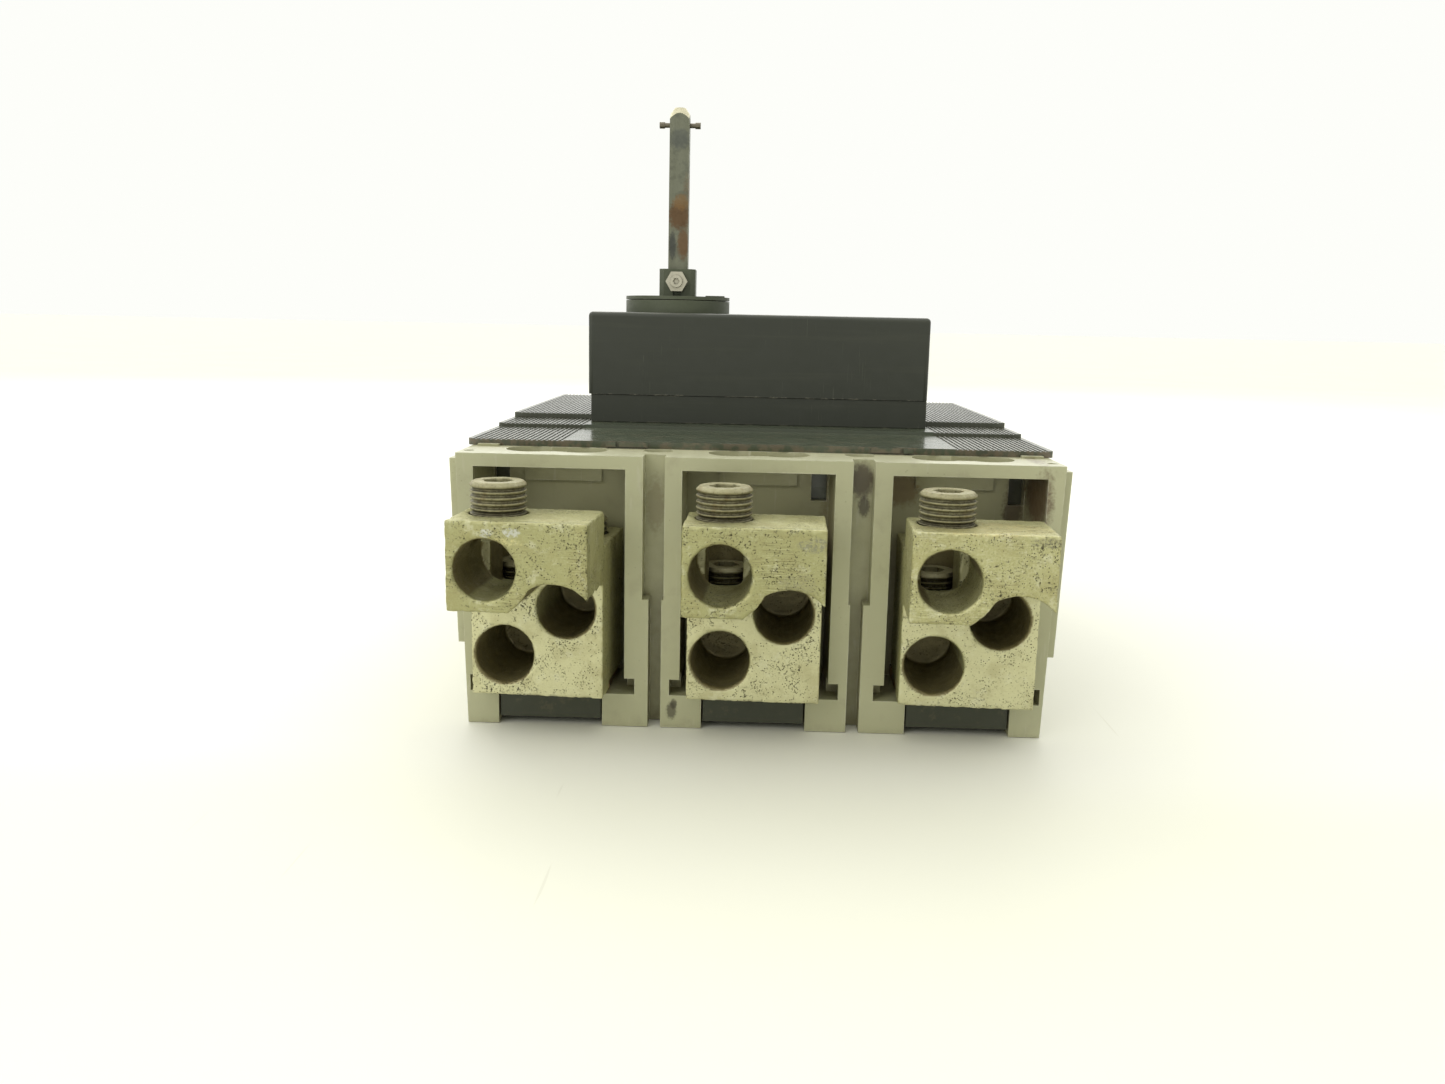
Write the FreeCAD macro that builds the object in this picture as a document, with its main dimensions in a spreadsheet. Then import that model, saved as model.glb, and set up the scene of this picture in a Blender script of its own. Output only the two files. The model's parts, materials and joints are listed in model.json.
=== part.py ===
"""Three-pole moulded-case circuit breaker with a rotary operator and extension shaft.

Frame: origin at the centre of the rear mounting face, +Z out of the breaker's front,
-Y towards the line terminals (the end that carries the cable lugs), +X to the right
when looking at that end with the rear face down. Millimetres.
"""
import FreeCAD, Part
import math
import os
import re

import Sketcher
from FreeCAD import Placement, Rotation, Vector

os.makedirs("parts", exist_ok=True)
doc = FreeCAD.newDocument("moulded_case_breaker")

# ---------------------------------------------------------------- driving dimensions

SIZES = {
    # moulded case
    "case_length": 268.0,
    "deck_width": 206.0,
    "foot_width": 200.4,
    "deck_height": 95.3,
    "case_seam": 66.0,
    "phase_pitch": 71.15,
    "case_floor": 5.0,
    "tower_depth": 36.0,
    "recess_depth": 32.0,
    "recess_half": 25.9,
    "recess_bottom": 11.7,
    "recess_top": 90.8,
    "chamber_half_length": 96.0,
    "trip_bay_start": 38.0,
    "groove_centre": 35.5,
    "groove_depth": 8.0,
    "groove_wide": 7.4,
    "groove_narrow": 4.5,
    "groove_step": 45.8,
    "mount_y": 114.1,
    "mount_hole": 6.0,
    "mount_recess": 10.5,
    "window_half": 18.2,
    "rail_stand": 3.1,
    # front cover
    "cover_half_width": 104.9,
    "cover_half_length": 108.3,
    "cover_low_top": 97.7,
    "cover_mid_top": 99.0,
    "cover_high_top": 100.9,
    "cover_mid_start": 55.5,
    "cover_high_start": 23.5,
    "cover_wall": 3.0,
    "smooth_half": 70.0,
    "rib_pitch": 1.84,
    "rib_depth": 0.3,
    "groove_half": 0.55,
    # operator box
    "box_half_width": 69.85,
    "box_shift": -0.85,
    "box_front": -41.2,
    "box_back": 64.5,
    "box_seam": 110.4,
    "box_top": 143.9,
    "box_wall": 2.5,
    "hub_x": -36.0,
    "hub_y": -12.0,
    "hub_radius": 22.2,
    "collar_top": 149.2,
    "cap_top": 150.9,
    "spindle_radius": 10.0,
    "crank_radius": 20.0,
    "coupling_width": 15.2,
    "coupling_top": 162.4,
    "shaft_width": 8.2,
    "shaft_top": 228.3,
    "pin_height": 221.4,
    # switching mechanism, in the plane of Y and Z
    "bar_y": 6.0,
    "bar_z": 38.0,
    "toggle_z": 54.0,
    "link_pin_reach": 15.0,
    "upper_link": 16.6,
    "lower_link": 21.0,
    "anchor_y": 2.0,
    "anchor_z": 74.0,
    "cradle_y": -22.0,
    "cradle_z": 82.0,
    "open_angle": 36.0,
    "toggle_lean": 15.58,
    "trip_y": 44.0,
    "trip_z": 58.0,
    "trip_rod_x": 38.0,
    "trip_rod_y": 56.0,
    # conductors and contacts
    "bar_thick": 4.0,
    "terminal_half": 20.0,
    "contact_bar_top": 27.4,
    # cable lug
    "lug_half": 22.7,
    "lug_front": 170.0,
    "lug_nose": 29.3,
    "lug_step": 26.1,
    "lug_end": 103.8,
    "lug_top": 77.9,
    "lug_rear_top": 66.0,
    "lug_nose_bottom": 48.6,
    "lug_bottom": 13.4,
    "cable_bore": 9.95,
    "upper_bore_x": -10.4,
    "upper_bore_z": 62.3,
    "right_bore_x": 9.8,
    "right_bore_z": 44.4,
    "lower_bore_x": -11.2,
    "lower_bore_z": 27.7,
    "relief_x": 11.4,
    "relief_z": 43.6,
    "relief_radius": 14.9,
    "bore_boss": 15.3,
    "bore_rim": 0.8,
    "clamp_radius": 9.3,
    "clamp_stand": 10.6,
    "clamp_socket": 5.2,
    "clamp_pitch": 1.88,
    "socket_depth": 6.0,
    "rear_clamp_y": 117.0,
    "rear_clamp_long": 17.6,
    "screw_slot": 12.4,
    "screw_slot_bottom": 50.0,
    "front_clamp_y": 151.3,
    "lug_bolt_x": 6.0,
}

RIBS_PER_SIDE = 18
CHUTE_PLATES = 9
OPERATOR_SCREW_Y = (-34.6, 54)
COUNTERSINK_TAPER = -45
NEAR, FAR = -1, 1
PHASES = (-1, 0, 1)
PHASE_NAMES = {-1: "left", 0: "middle", 1: "right"}
LUG_SHIFT = {-1: (-1.1, -3.5), 0: (0.3, -1.6), 1: (2.2, -3.0)}

sheet = doc.addObject("Spreadsheet::Sheet", "Dims")
for row, (alias, number) in enumerate(SIZES.items(), start=1):
    sheet.set(f"A{row}", alias)
    sheet.set(f"B{row}", str(number))
    sheet.setAlias(f"B{row}", alias)
doc.recompute()


def size(alias):
    """A driving dimension, read back from the sheet."""
    return float(sheet.get(alias))


def expr(text):
    """An expression that reads the sheet for every dimension named in text."""
    return re.sub(r"[A-Za-z_]+", lambda m: "Dims." + m.group(0) if m.group(0) in SIZES else m.group(0),
                  str(text))


# ---------------------------------------------------------------- PartDesign helpers

def new_body(label):
    body = doc.addObject("PartDesign::Body", label)
    body.Label = label
    return body


def sketch_on(body, name, role, offset="0"):
    """A sketch on one of the body's own origin planes, moved along the plane's normal."""
    sketch = body.newObject("Sketcher::SketchObject", name)
    plane = next(f for f in body.Origin.OriginFeatures if f.Role == role)
    sketch.AttachmentSupport = [(plane, "")]
    sketch.MapMode = "FlatFace"
    sketch.setExpression("AttachmentOffset.Base.z", expr(offset))
    return sketch


def fix_point(sketch, geometry, vertex, u, v):
    """Ties a point to its two coordinates with driven constraints."""
    for kind, text in (("DistanceX", u), ("DistanceY", v)):
        index = sketch.addConstraint(Sketcher.Constraint(kind, geometry, vertex, 1.0))
        sketch.setExpression(f"Constraints[{index}]", expr(text))


def outline(sketch, corners):
    """A closed polygon through the given (u, v) corners, each an expression or a number."""
    first = sketch.GeometryCount
    count = len(corners)
    for i in range(count):
        start = Vector(i, i * i, 0)
        stop = Vector(i + 1, (i + 1) ** 2, 0)
        sketch.addGeometry(Part.LineSegment(start, stop), False)
    for i in range(count):
        sketch.addConstraint(Sketcher.Constraint("Coincident", first + i, 2, first + (i + 1) % count, 1))
    for i, (u, v) in enumerate(corners):
        fix_point(sketch, first + i, 1, u, v)


def rectangle(sketch, u_low, u_high, v_low, v_high):
    outline(sketch, [(u_low, v_low), (u_high, v_low), (u_high, v_high), (u_low, v_high)])


def circle(sketch, u, v, radius):
    index = sketch.addGeometry(Part.Circle(Vector(0, 0, 0), Vector(0, 0, 1), 1.0), False)
    fix_point(sketch, index, 3, u, v)
    ring = sketch.addConstraint(Sketcher.Constraint("Radius", index, 1.0))
    sketch.setExpression(f"Constraints[{ring}]", expr(radius))


def crescent(sketch, taken, kept):
    """The part of the disc taken that lies outside the disc kept, as two arcs."""
    centres = [Vector(size(u), size(v), 0) for u, v, _ in (taken, kept)]
    radii = [size(radius) for _, _, radius in (taken, kept)]
    line = centres[1] - centres[0]
    along = (radii[0] ** 2 - radii[1] ** 2 + line.Length ** 2) / (2 * line.Length)
    across = Vector(-line.y, line.x, 0) / line.Length * math.sqrt(radii[0] ** 2 - along ** 2)
    middle = centres[0] + line * (along / line.Length)
    ends = (middle + across, middle - across)
    arcs = []
    for (u, v, radius), centre, reach, order in zip((taken, kept), centres, radii, (ends, ends[::-1])):
        start, stop = (math.atan2(end.y - centre.y, end.x - centre.x) for end in order)
        ring = Part.Circle(centre, Vector(0, 0, 1), reach)
        arc = sketch.addGeometry(Part.ArcOfCircle(ring, start, stop), False)
        fix_point(sketch, arc, 3, u, v)
        index = sketch.addConstraint(Sketcher.Constraint("Radius", arc, reach))
        sketch.setExpression(f"Constraints[{index}]", expr(radius))
        arcs.append(arc)
    sketch.addConstraint(Sketcher.Constraint("Coincident", arcs[0], 1, arcs[1], 1))
    sketch.addConstraint(Sketcher.Constraint("Coincident", arcs[0], 2, arcs[1], 2))


def extrude(body, kind, sketch, length, flip=False, middle=False):
    """A Pad or a Pocket from a sketch; a pocket runs against the sketch's normal."""
    feature = body.newObject("PartDesign::" + kind, sketch.Name + "_" + kind.lower())
    feature.Profile = sketch
    feature.setExpression("Length", expr(length))
    feature.Reversed = flip
    feature.Midplane = middle
    sketch.Visibility = False
    return feature


def pad(body, sketch, length, flip=False, middle=False):
    return extrude(body, "Pad", sketch, length, flip, middle)


def pocket(body, sketch, length, flip=False, middle=False):
    return extrude(body, "Pocket", sketch, length, flip, middle)


def round_edges(body, name, wanted, radius):
    """Rounds every edge of the body so far that passes the test."""
    doc.recompute()
    base = body.Tip
    chosen = [f"Edge{i + 1}" for i, edge in enumerate(base.Shape.Edges) if wanted(edge)]
    fillet = body.newObject("PartDesign::Fillet", name)
    fillet.Base = (base, chosen)
    fillet.Radius = radius
    return fillet


# ---------------------------------------------------------------- Part helpers

AXIS_VECTOR = {"x": Vector(1, 0, 0), "y": Vector(0, 1, 0), "z": Vector(0, 0, 1)}


def block(name, x, y, z):
    """A box between (low, high) pairs of expressions."""
    piece = doc.addObject("Part::Box", name)
    for prop, axis, (low, high) in zip(("Length", "Width", "Height"), "xyz", (x, y, z)):
        piece.setExpression(prop, expr(f"({high}) - ({low})"))
        piece.setExpression("Placement.Base." + axis, expr(low))
    return piece


def rod(name, axis, radius, span, centre):
    """A cylinder along an axis; centre gives its other two coordinates in X, Y, Z order."""
    low, high = span
    piece = doc.addObject("Part::Cylinder", name)
    piece.Placement = Placement(Vector(0, 0, 0), Rotation(Vector(0, 0, 1), AXIS_VECTOR[axis]))
    piece.setExpression("Radius", expr(radius))
    piece.setExpression("Height", expr(f"({high}) - ({low})"))
    places = dict(zip([a for a in "xyz" if a != axis], centre))
    places[axis] = low
    for letter, text in places.items():
        piece.setExpression("Placement.Base." + letter, expr(text))
    return piece


def hexagon(name, axis, across_flats, span, centre):
    """A hexagonal prism along an axis."""
    low, high = span
    piece = doc.addObject("Part::Prism", name)
    piece.Polygon = 6
    piece.Placement = Placement(Vector(0, 0, 0), Rotation(Vector(0, 0, 1), AXIS_VECTOR[axis]))
    piece.setExpression("Circumradius", expr(f"({across_flats}) / sqrt(3)"))
    piece.setExpression("Height", expr(f"({high}) - ({low})"))
    places = dict(zip([a for a in "xyz" if a != axis], centre))
    places[axis] = low
    for letter, text in places.items():
        piece.setExpression("Placement.Base." + letter, expr(text))
    return piece


def join(name, pieces):
    result = doc.addObject("Part::MultiFuse", name)
    result.Shapes = pieces
    return result


def cut(name, base, tools):
    result = doc.addObject("Part::Cut", name)
    result.Base = base
    result.Tool = tools[0] if len(tools) == 1 else join(name + "_tools", tools)
    return result


def separate(name, pieces):
    """Several separate solids that share one node."""
    result = doc.addObject("Part::Compound", name)
    result.Links = pieces
    return result


def about_x(piece, degrees, y, z):
    """Turns a piece about an axis along X through (y, z), given as alias names."""
    pivot = Vector(0, size(y), size(z))
    turn = Rotation(Vector(1, 0, 0), degrees)
    piece.Placement = Placement(pivot - turn.multVec(pivot), turn)
    return piece


PARTS = {}


def keep(name, piece):
    """Registers a finished sub-part under its node name."""
    piece.Label = name
    PARTS[name] = piece
    return piece


# ---------------------------------------------------------------- moulded case

def phase_centre(phase):
    return f"{phase} * phase_pitch"


def end_features(body, end):
    """Terminal recesses, barrier grooves and mounting holes at one end of the case."""
    tag = "near" if end == NEAR else "far"
    flip = end == FAR
    face = f"{-end} * case_length / 2"

    recess = sketch_on(body, tag + "_recess", "XZ_Plane", face)
    notch = sketch_on(body, tag + "_notch", "XZ_Plane", face)
    window = sketch_on(body, tag + "_window", "XZ_Plane", face)
    slot = sketch_on(body, tag + "_slot", "XZ_Plane", face)
    access = []
    for phase in PHASES:
        centre = phase_centre(phase)
        rectangle(recess, f"{centre} - recess_half", f"{centre} + recess_half", "recess_bottom",
                  "recess_top")
        inner, outer = 3.6, 2.2
        left = outer if phase == -1 else inner
        right = outer if phase == 1 else inner
        rectangle(notch, f"{centre} - recess_half - {left}", f"{centre} + recess_half + {right}",
                  "recess_bottom", "recess_bottom + 5.7")
        rectangle(window, f"{centre} - window_half", f"{centre} + window_half", "-1", "recess_bottom + 1")
        rectangle(slot, f"{centre} - terminal_half - 0.2", f"{centre} + terminal_half + 0.2",
                  "recess_bottom", "recess_bottom + bar_thick + 0.2")
    pocket(body, recess, "recess_depth", flip)
    pocket(body, notch, "10", flip)
    pocket(body, window, "recess_depth", flip)
    pocket(body, slot, "tower_depth + 4", flip)

    upper = sketch_on(body, tag + "_groove_upper", "XZ_Plane", face)
    lower = sketch_on(body, tag + "_groove_lower", "XZ_Plane", face)
    for side in (-1, 1):
        middle = f"{side} * groove_centre"
        rectangle(upper, f"{middle} - groove_wide / 2", f"{middle} + groove_wide / 2",
                  "groove_step", "deck_height + 1")
        rectangle(lower, f"{middle} - groove_narrow / 2 - {side} * 0.75",
                  f"{middle} + groove_narrow / 2 - {side} * 0.75", "-1", "groove_step + 1")
    pocket(body, upper, "groove_depth", flip)
    pocket(body, lower, "groove_depth", flip)

    for i, phase in enumerate(PHASES):
        centre = phase_centre(phase)
        for j, (low, high, radius) in enumerate((("-8.8", "8.8", "9"), ("8.8", "-8.8", "9"))):
            lobe = sketch_on(body, f"{tag}_access_{i}_{j}", "XY_Plane", "deck_height")
            circle(lobe, f"{centre} + {low}", f"{end} * rear_clamp_y", radius)
            access.append(pocket(body, lobe, "8"))
        waist = sketch_on(body, f"{tag}_access_{i}_waist", "XY_Plane", "deck_height")
        rectangle(waist, f"{centre} - 7", f"{centre} + 7", f"{end} * rear_clamp_y - 6.8",
                  f"{end} * rear_clamp_y + 6.8")
        pocket(body, waist, "8")

    deep = sketch_on(body, tag + "_mount_recess", "XY_Plane", "deck_height")
    through = sketch_on(body, tag + "_mount_hole", "XY_Plane", "deck_height")
    corner = sketch_on(body, tag + "_corner_hole", "XY_Plane", "deck_height")
    for side in (-1, 1):
        circle(deep, f"{side} * groove_centre", f"{end} * mount_y", "mount_recess / 2")
        circle(through, f"{side} * groove_centre", f"{end} * mount_y", "mount_hole / 2")
        circle(corner, f"{side} * (deck_width / 2 - 3)", f"{end} * (case_length / 2 - 7.8)", "1.8")
    pocket(body, deep, "deck_height - 20")
    pocket(body, through, "deck_height + 1")
    pocket(body, corner, "12")

    rails = sketch_on(body, tag + "_rails", "XZ_Plane", f"{-end} * (case_length / 2 - 4)")
    low, high = 28, 93
    for side in (-1, 1):
        edge = f"{side} * (foot_width / 2 + (deck_width - foot_width) / 2 * {{}} / deck_height)"
        outline(rails, [(edge.format(low) + f" - {side} * 3", low),
                        (edge.format(low) + f" + {side} * rail_stand", low),
                        (edge.format(high) + f" + {side} * rail_stand", high),
                        (edge.format(high) + f" - {side} * 3", high)])
    pad(body, rails, "8", flip=end == NEAR)


def base_housing():
    body = new_body("base_housing")
    foot = sketch_on(body, "case_foot", "XY_Plane", "0")
    rectangle(foot, "-foot_width / 2", "foot_width / 2", "-case_length / 2", "case_length / 2")
    deck = sketch_on(body, "case_deck", "XY_Plane", "deck_height")
    rectangle(deck, "-deck_width / 2", "deck_width / 2", "-case_length / 2", "case_length / 2")
    loft = body.newObject("PartDesign::AdditiveLoft", "case_loft")
    loft.Profile = foot
    loft.Sections = [deck]

    seat = sketch_on(body, "cover_seat", "XY_Plane", "deck_height")
    rectangle(seat, "-deck_width", "deck_width", "tower_depth - case_length / 2",
              "case_length / 2 - tower_depth")
    pocket(body, seat, "deck_height - case_seam")

    chambers = sketch_on(body, "pole_chambers", "XY_Plane", "case_seam")
    rectangle(chambers, "-33.3", "33.3", "-chamber_half_length", "trip_bay_start + 1")
    for side in (-1, 1):
        rectangle(chambers, f"{side} * 37.8", f"{side} * 96.5", "-chamber_half_length", "trip_bay_start + 1")
    pocket(body, chambers, "case_seam - case_floor")
    bay = sketch_on(body, "trip_bay", "XY_Plane", "case_seam")
    rectangle(bay, "-96.5", "96.5", "trip_bay_start", "chamber_half_length")
    pocket(body, bay, "case_seam - case_floor")

    plinth = sketch_on(body, "mechanism_plinth", "XY_Plane", "case_floor - 1")
    rectangle(plinth, "-21", "21", "-22", "24")
    pad(body, plinth, "18")

    bosses = sketch_on(body, "cover_bosses", "XY_Plane", "case_floor - 1")
    boss_holes = sketch_on(body, "cover_boss_holes", "XY_Plane", "case_seam")
    boss_heads = sketch_on(body, "cover_boss_heads", "XY_Plane", "5")
    for side in (-1, 1):
        for end in (-1, 1):
            circle(bosses, f"{side} * 93.5", f"{end} * 52", "4.5")
            circle(boss_holes, f"{side} * 93.5", f"{end} * 52", "2.1")
            circle(boss_heads, f"{side} * 93.5", f"{end} * 52", "4.1")
    pad(body, bosses, "case_seam - case_floor + 1")
    pocket(body, boss_holes, "case_seam + 1")
    pocket(body, boss_heads, "6")

    journal = sketch_on(body, "journal_notch", "YZ_Plane", "0")
    rectangle(journal, "bar_y - 10.05", "bar_y + 10.05", "bar_z", "case_seam + 1")
    pocket(body, journal, "76", middle=True)
    bearing = sketch_on(body, "journal_bearing", "YZ_Plane", "0")
    circle(bearing, "bar_y", "bar_z", "10.05")
    pocket(body, bearing, "76", middle=True)

    for end in (NEAR, FAR):
        end_features(body, end)

    hooks = sketch_on(body, "hook_windows", "XZ_Plane", "case_length / 2 - recess_depth + 1")
    for centre in ("-93.6", "22.6", "94.2"):
        rectangle(hooks, f"{centre} - 3.2", f"{centre} + 2.6", "77", "recess_top - 1")
    pocket(body, hooks, "tower_depth - recess_depth + 3")
    vents = sketch_on(body, "arc_vents", "XZ_Plane", "case_length / 2 - recess_depth + 1")
    for phase in PHASES:
        for k in (-1.5, -0.5, 0.5, 1.5):
            middle = f"{phase_centre(phase)} + {k} * 9"
            rectangle(vents, f"{middle} - 2", f"{middle} + 2", "30", "58")
    pocket(body, vents, "9")

    ledge = sketch_on(body, "recess_ledges", "XZ_Plane", "case_length / 2 - recess_depth")
    for phase in PHASES:
        centre = phase_centre(phase)
        rectangle(ledge, f"{centre} - 14", f"{centre} + 14", "82.5", "recess_top + 0.5")
    pad(body, ledge, "1.2")
    pads = sketch_on(body, "deck_pads", "XY_Plane", "deck_height - 1")
    for side in (-1, 1):
        for end in (NEAR, FAR):
            rectangle(pads, f"{side} * 93", f"{side} * 100.5", f"{end} * cover_half_length + {end} * 0.3",
                      f"{end} * cover_half_length + {end} * 3.4")
    pad(body, pads, "1.8")
    return keep("base_housing", body)


def ribs(sketch, top):
    """Flat grooves between narrow ribs on both sides of the cover's smooth middle strip."""
    for side in (-1, 1):
        for i in range(RIBS_PER_SIDE):
            middle = f"{side} * (smooth_half + 0.9 + {i} * rib_pitch)"
            outline(sketch, [(f"{middle} - groove_half - 0.1", f"{top} + 0.2"),
                             (f"{middle} + groove_half + 0.1", f"{top} + 0.2"),
                             (f"{middle} + groove_half", f"{top} - rib_depth"),
                             (f"{middle} - groove_half", f"{top} - rib_depth")])


def front_cover():
    body = new_body("front_cover")
    skirt = sketch_on(body, "cover_skirt", "XY_Plane", "case_seam + 0.02")
    half = "case_length / 2 - tower_depth - 0.1"
    rectangle(skirt, "-cover_half_width", "cover_half_width", f"-({half})", half)
    pad(body, skirt, "cover_low_top - case_seam - 0.02")
    lip = sketch_on(body, "cover_lip", "XY_Plane", "deck_height + 0.02")
    rectangle(lip, "-cover_half_width", "cover_half_width", "-cover_half_length", "cover_half_length")
    pad(body, lip, "cover_low_top - deck_height - 0.02")
    round_edges(body, "cover_corner_rounds", is_corner_edge, 2.0)

    middle = sketch_on(body, "cover_middle", "XY_Plane", "cover_low_top - 1")
    rectangle(middle, "-cover_half_width", "cover_half_width", "-cover_mid_start", "cover_half_length")
    pad(body, middle, "cover_mid_top - cover_low_top + 1")
    high = sketch_on(body, "cover_high", "XY_Plane", "cover_mid_top - 1")
    for side in (-1, 1):
        rectangle(high, f"{side} * smooth_half", f"{side} * cover_half_width", "-cover_high_start",
                  "cover_half_length")
    pad(body, high, "cover_high_top - cover_mid_top + 1")
    panel = sketch_on(body, "cover_trip_panel", "XY_Plane", "cover_mid_top - 1")
    rectangle(panel, "-smooth_half - 1", "smooth_half + 1", "box_back + 0.6", "cover_half_length")
    pad(body, panel, "cover_high_top - cover_mid_top + 1")

    cavity = sketch_on(body, "cover_cavity", "XY_Plane", "case_seam")
    inner = f"{half} - cover_wall"
    rectangle(cavity, "-cover_half_width + cover_wall", "cover_half_width - cover_wall", f"-({inner})",
              inner)
    pocket(body, cavity, "cover_low_top - cover_wall - case_seam", flip=True)
    walls = sketch_on(body, "cover_partitions", "XY_Plane", "case_seam + 0.02")
    for side in (-1, 1):
        rectangle(walls, f"{side} * 33.5", f"{side} * 37.6", f"-({inner}) - 1", "34")
    pad(body, walls, "cover_low_top - cover_wall - case_seam + 1")
    bosses = sketch_on(body, "cover_screw_bosses", "XY_Plane", "case_seam + 0.02")
    holes = sketch_on(body, "cover_screw_holes", "XY_Plane", "case_seam")
    seats = sketch_on(body, "operator_screw_holes", "XY_Plane", "cover_mid_top + 1")
    for side in (-1, 1):
        for y in (-52, 52):
            circle(bosses, f"{side} * 93.5", y, "4.5")
            circle(holes, f"{side} * 93.5", y, "1.95")
        for y in OPERATOR_SCREW_Y:
            circle(seats, f"{side} * 58 + box_shift", y, "1.6")
    pad(body, bosses, "cover_low_top - cover_wall - case_seam + 1")
    pocket(body, holes, "16", flip=True)
    pocket(body, seats, "8")

    slot = sketch_on(body, "toggle_slot", "XY_Plane", "cover_mid_top + 1")
    rectangle(slot, "-8", "8", "-19", "31")
    circle(slot, "trip_rod_x", "trip_rod_y", "3.4")
    pocket(body, slot, "8")
    label = sketch_on(body, "label_recess", "XY_Plane", "cover_high_top + 1")
    rectangle(label, "-44", "44", "74", "100")
    pocket(body, label, "1.5")

    for name, top, start, stop in (("low", "cover_low_top", "-cover_half_length - 1", "-cover_mid_start"),
                                   ("mid", "cover_mid_top", "-cover_mid_start - 1", "-cover_high_start"),
                                   ("high", "cover_high_top", "-cover_high_start - 1",
                                    "cover_half_length + 1")):
        grooves = sketch_on(body, f"rib_grooves_{name}", "XZ_Plane", f"-({start})")
        ribs(grooves, top)
        pocket(body, grooves, f"({stop}) - ({start})")

    lugs = sketch_on(body, "cover_front_catches", "XY_Plane", "deck_height + 0.6")
    for side in (-1, 1):
        rectangle(lugs, f"{side} * 39.8", f"{side} * 50.2", "-cover_half_length - 1.3",
                  "-cover_half_length + 1")
        rectangle(lugs, f"{side} * 51.3", f"{side} * 54.8", "-cover_half_length - 2",
                  "-cover_half_length + 1")
    pad(body, lugs, "1.6")
    return keep("front_cover", body)


def is_corner_edge(edge):
    """True for the short upright edges at the cover lip's four outer corners."""
    box = edge.BoundBox
    upright = box.ZLength > 1.0 and box.XLength < 0.01 and box.YLength < 0.01
    return upright and abs(abs(box.XMin) - size("cover_half_width")) < 0.01


def insulators(end, name):
    """The dark trays that close the windows under the terminals of one end."""
    trays = []
    for phase in PHASES:
        centre = phase_centre(phase)
        x = (f"{centre} - window_half + 0.6", f"{centre} + window_half - 0.6")
        face = "case_length / 2 - 0.8"
        back = "case_length / 2 - recess_depth + 2"
        front_y = (f"-({face})", f"-({face}) + 2") if end == NEAR else (f"{face} - 2", face)
        floor_y = (f"-({face}) + 1", f"-({back})") if end == NEAR else (back, f"{face} - 1")
        plate = block(f"{name}_plate_{phase + 1}", x, front_y, ("2.4", "recess_bottom - 0.1"))
        floor = block(f"{name}_floor_{phase + 1}", x, floor_y, ("2.4", "4.4"))
        trays.append(join(f"{name}_tray_{phase + 1}", [plate, floor]))
    return keep(name, separate(name, trays))


def cover_screws():
    screws = []
    for side in (-1, 1):
        for y in (-52, 52):
            tag = f"{(side + 1) // 2}_{(y + 52) // 104}"
            head = rod("cover_screw_head_" + tag, "z", "3.8", ("0.6", "4.9"), (f"{side} * 93.5", y))
            shank = rod("cover_screw_shank_" + tag, "z", "1.93", ("4", "80"), (f"{side} * 93.5", y))
            socket = hexagon("cover_screw_socket_" + tag, "z", "3", ("0", "3"), (f"{side} * 93.5", y))
            screws.append(cut("cover_screw_" + tag, join("cover_screw_body_" + tag, [head, shank]),
                              [socket]))
    return keep("cover_screws", separate("cover_screws", screws))


# ---------------------------------------------------------------- conductors

def profile_bar(label, points, half_width, centre):
    """A flat bar bent in the plane of Y and Z, padded equally to both sides of its phase."""
    body = new_body(label)
    side_view = sketch_on(body, label + "_profile", "YZ_Plane", centre)
    outline(side_view, points)
    pad(body, side_view, f"2 * ({half_width})", middle=True)
    return body


def line_terminals():
    bars = []
    base, top = "recess_bottom", "recess_bottom + bar_thick"
    outer = "-case_length / 2 + 5"
    for phase in PHASES:
        points = [(outer, base), ("-28", base), ("-28", "contact_bar_top"), ("-58", "contact_bar_top"),
                  ("-58", "contact_bar_top - bar_thick"), ("-28 - bar_thick", "contact_bar_top - bar_thick"),
                  ("-28 - bar_thick", top), (outer, top)]
        bar = profile_bar(f"line_bar_{phase + 1}", points, "terminal_half", phase_centre(phase))
        drill = sketch_on(bar, f"line_bar_hole_{phase + 1}", "XY_Plane", "recess_bottom + bar_thick + 1")
        circle(drill, f"{phase_centre(phase)} + lug_bolt_x", "-116", "6.6")
        pocket(bar, drill, "bar_thick + 2")
        narrow = sketch_on(bar, f"line_bar_neck_{phase + 1}", "XY_Plane", "contact_bar_top + 1")
        for side in (-1, 1):
            rectangle(narrow, f"{phase_centre(phase)} + {side} * 9", f"{phase_centre(phase)} + {side} * 21",
                      "-60", "-27")
        pocket(bar, narrow, "contact_bar_top - recess_bottom + 2")
        bars.append(bar)
    return keep("line_terminals", separate("line_terminals", bars))


def load_terminals():
    bars = []
    base, top = "recess_bottom", "recess_bottom + bar_thick"
    outer = "case_length / 2 - 3"
    for phase in PHASES:
        points = [("36", base), (outer, base), (outer, top), ("36 + bar_thick", top),
                  ("36 + bar_thick", "26"), ("36", "26")]
        bar = profile_bar(f"load_bar_{phase + 1}", points, "terminal_half", phase_centre(phase))
        narrow = sketch_on(bar, f"load_bar_neck_{phase + 1}", "XY_Plane", "27")
        for side in (-1, 1):
            rectangle(narrow, f"{phase_centre(phase)} + {side} * 15", f"{phase_centre(phase)} + {side} * 21",
                      "35", "chamber_half_length")
        pocket(bar, narrow, "16")
        drill = sketch_on(bar, f"load_bar_hole_{phase + 1}", "XY_Plane", "recess_bottom + bar_thick + 1")
        circle(drill, phase_centre(phase), "117", "5.3")
        pocket(bar, drill, "bar_thick + 2")
        bars.append(bar)
    return keep("load_terminals", separate("load_terminals", bars))


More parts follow.
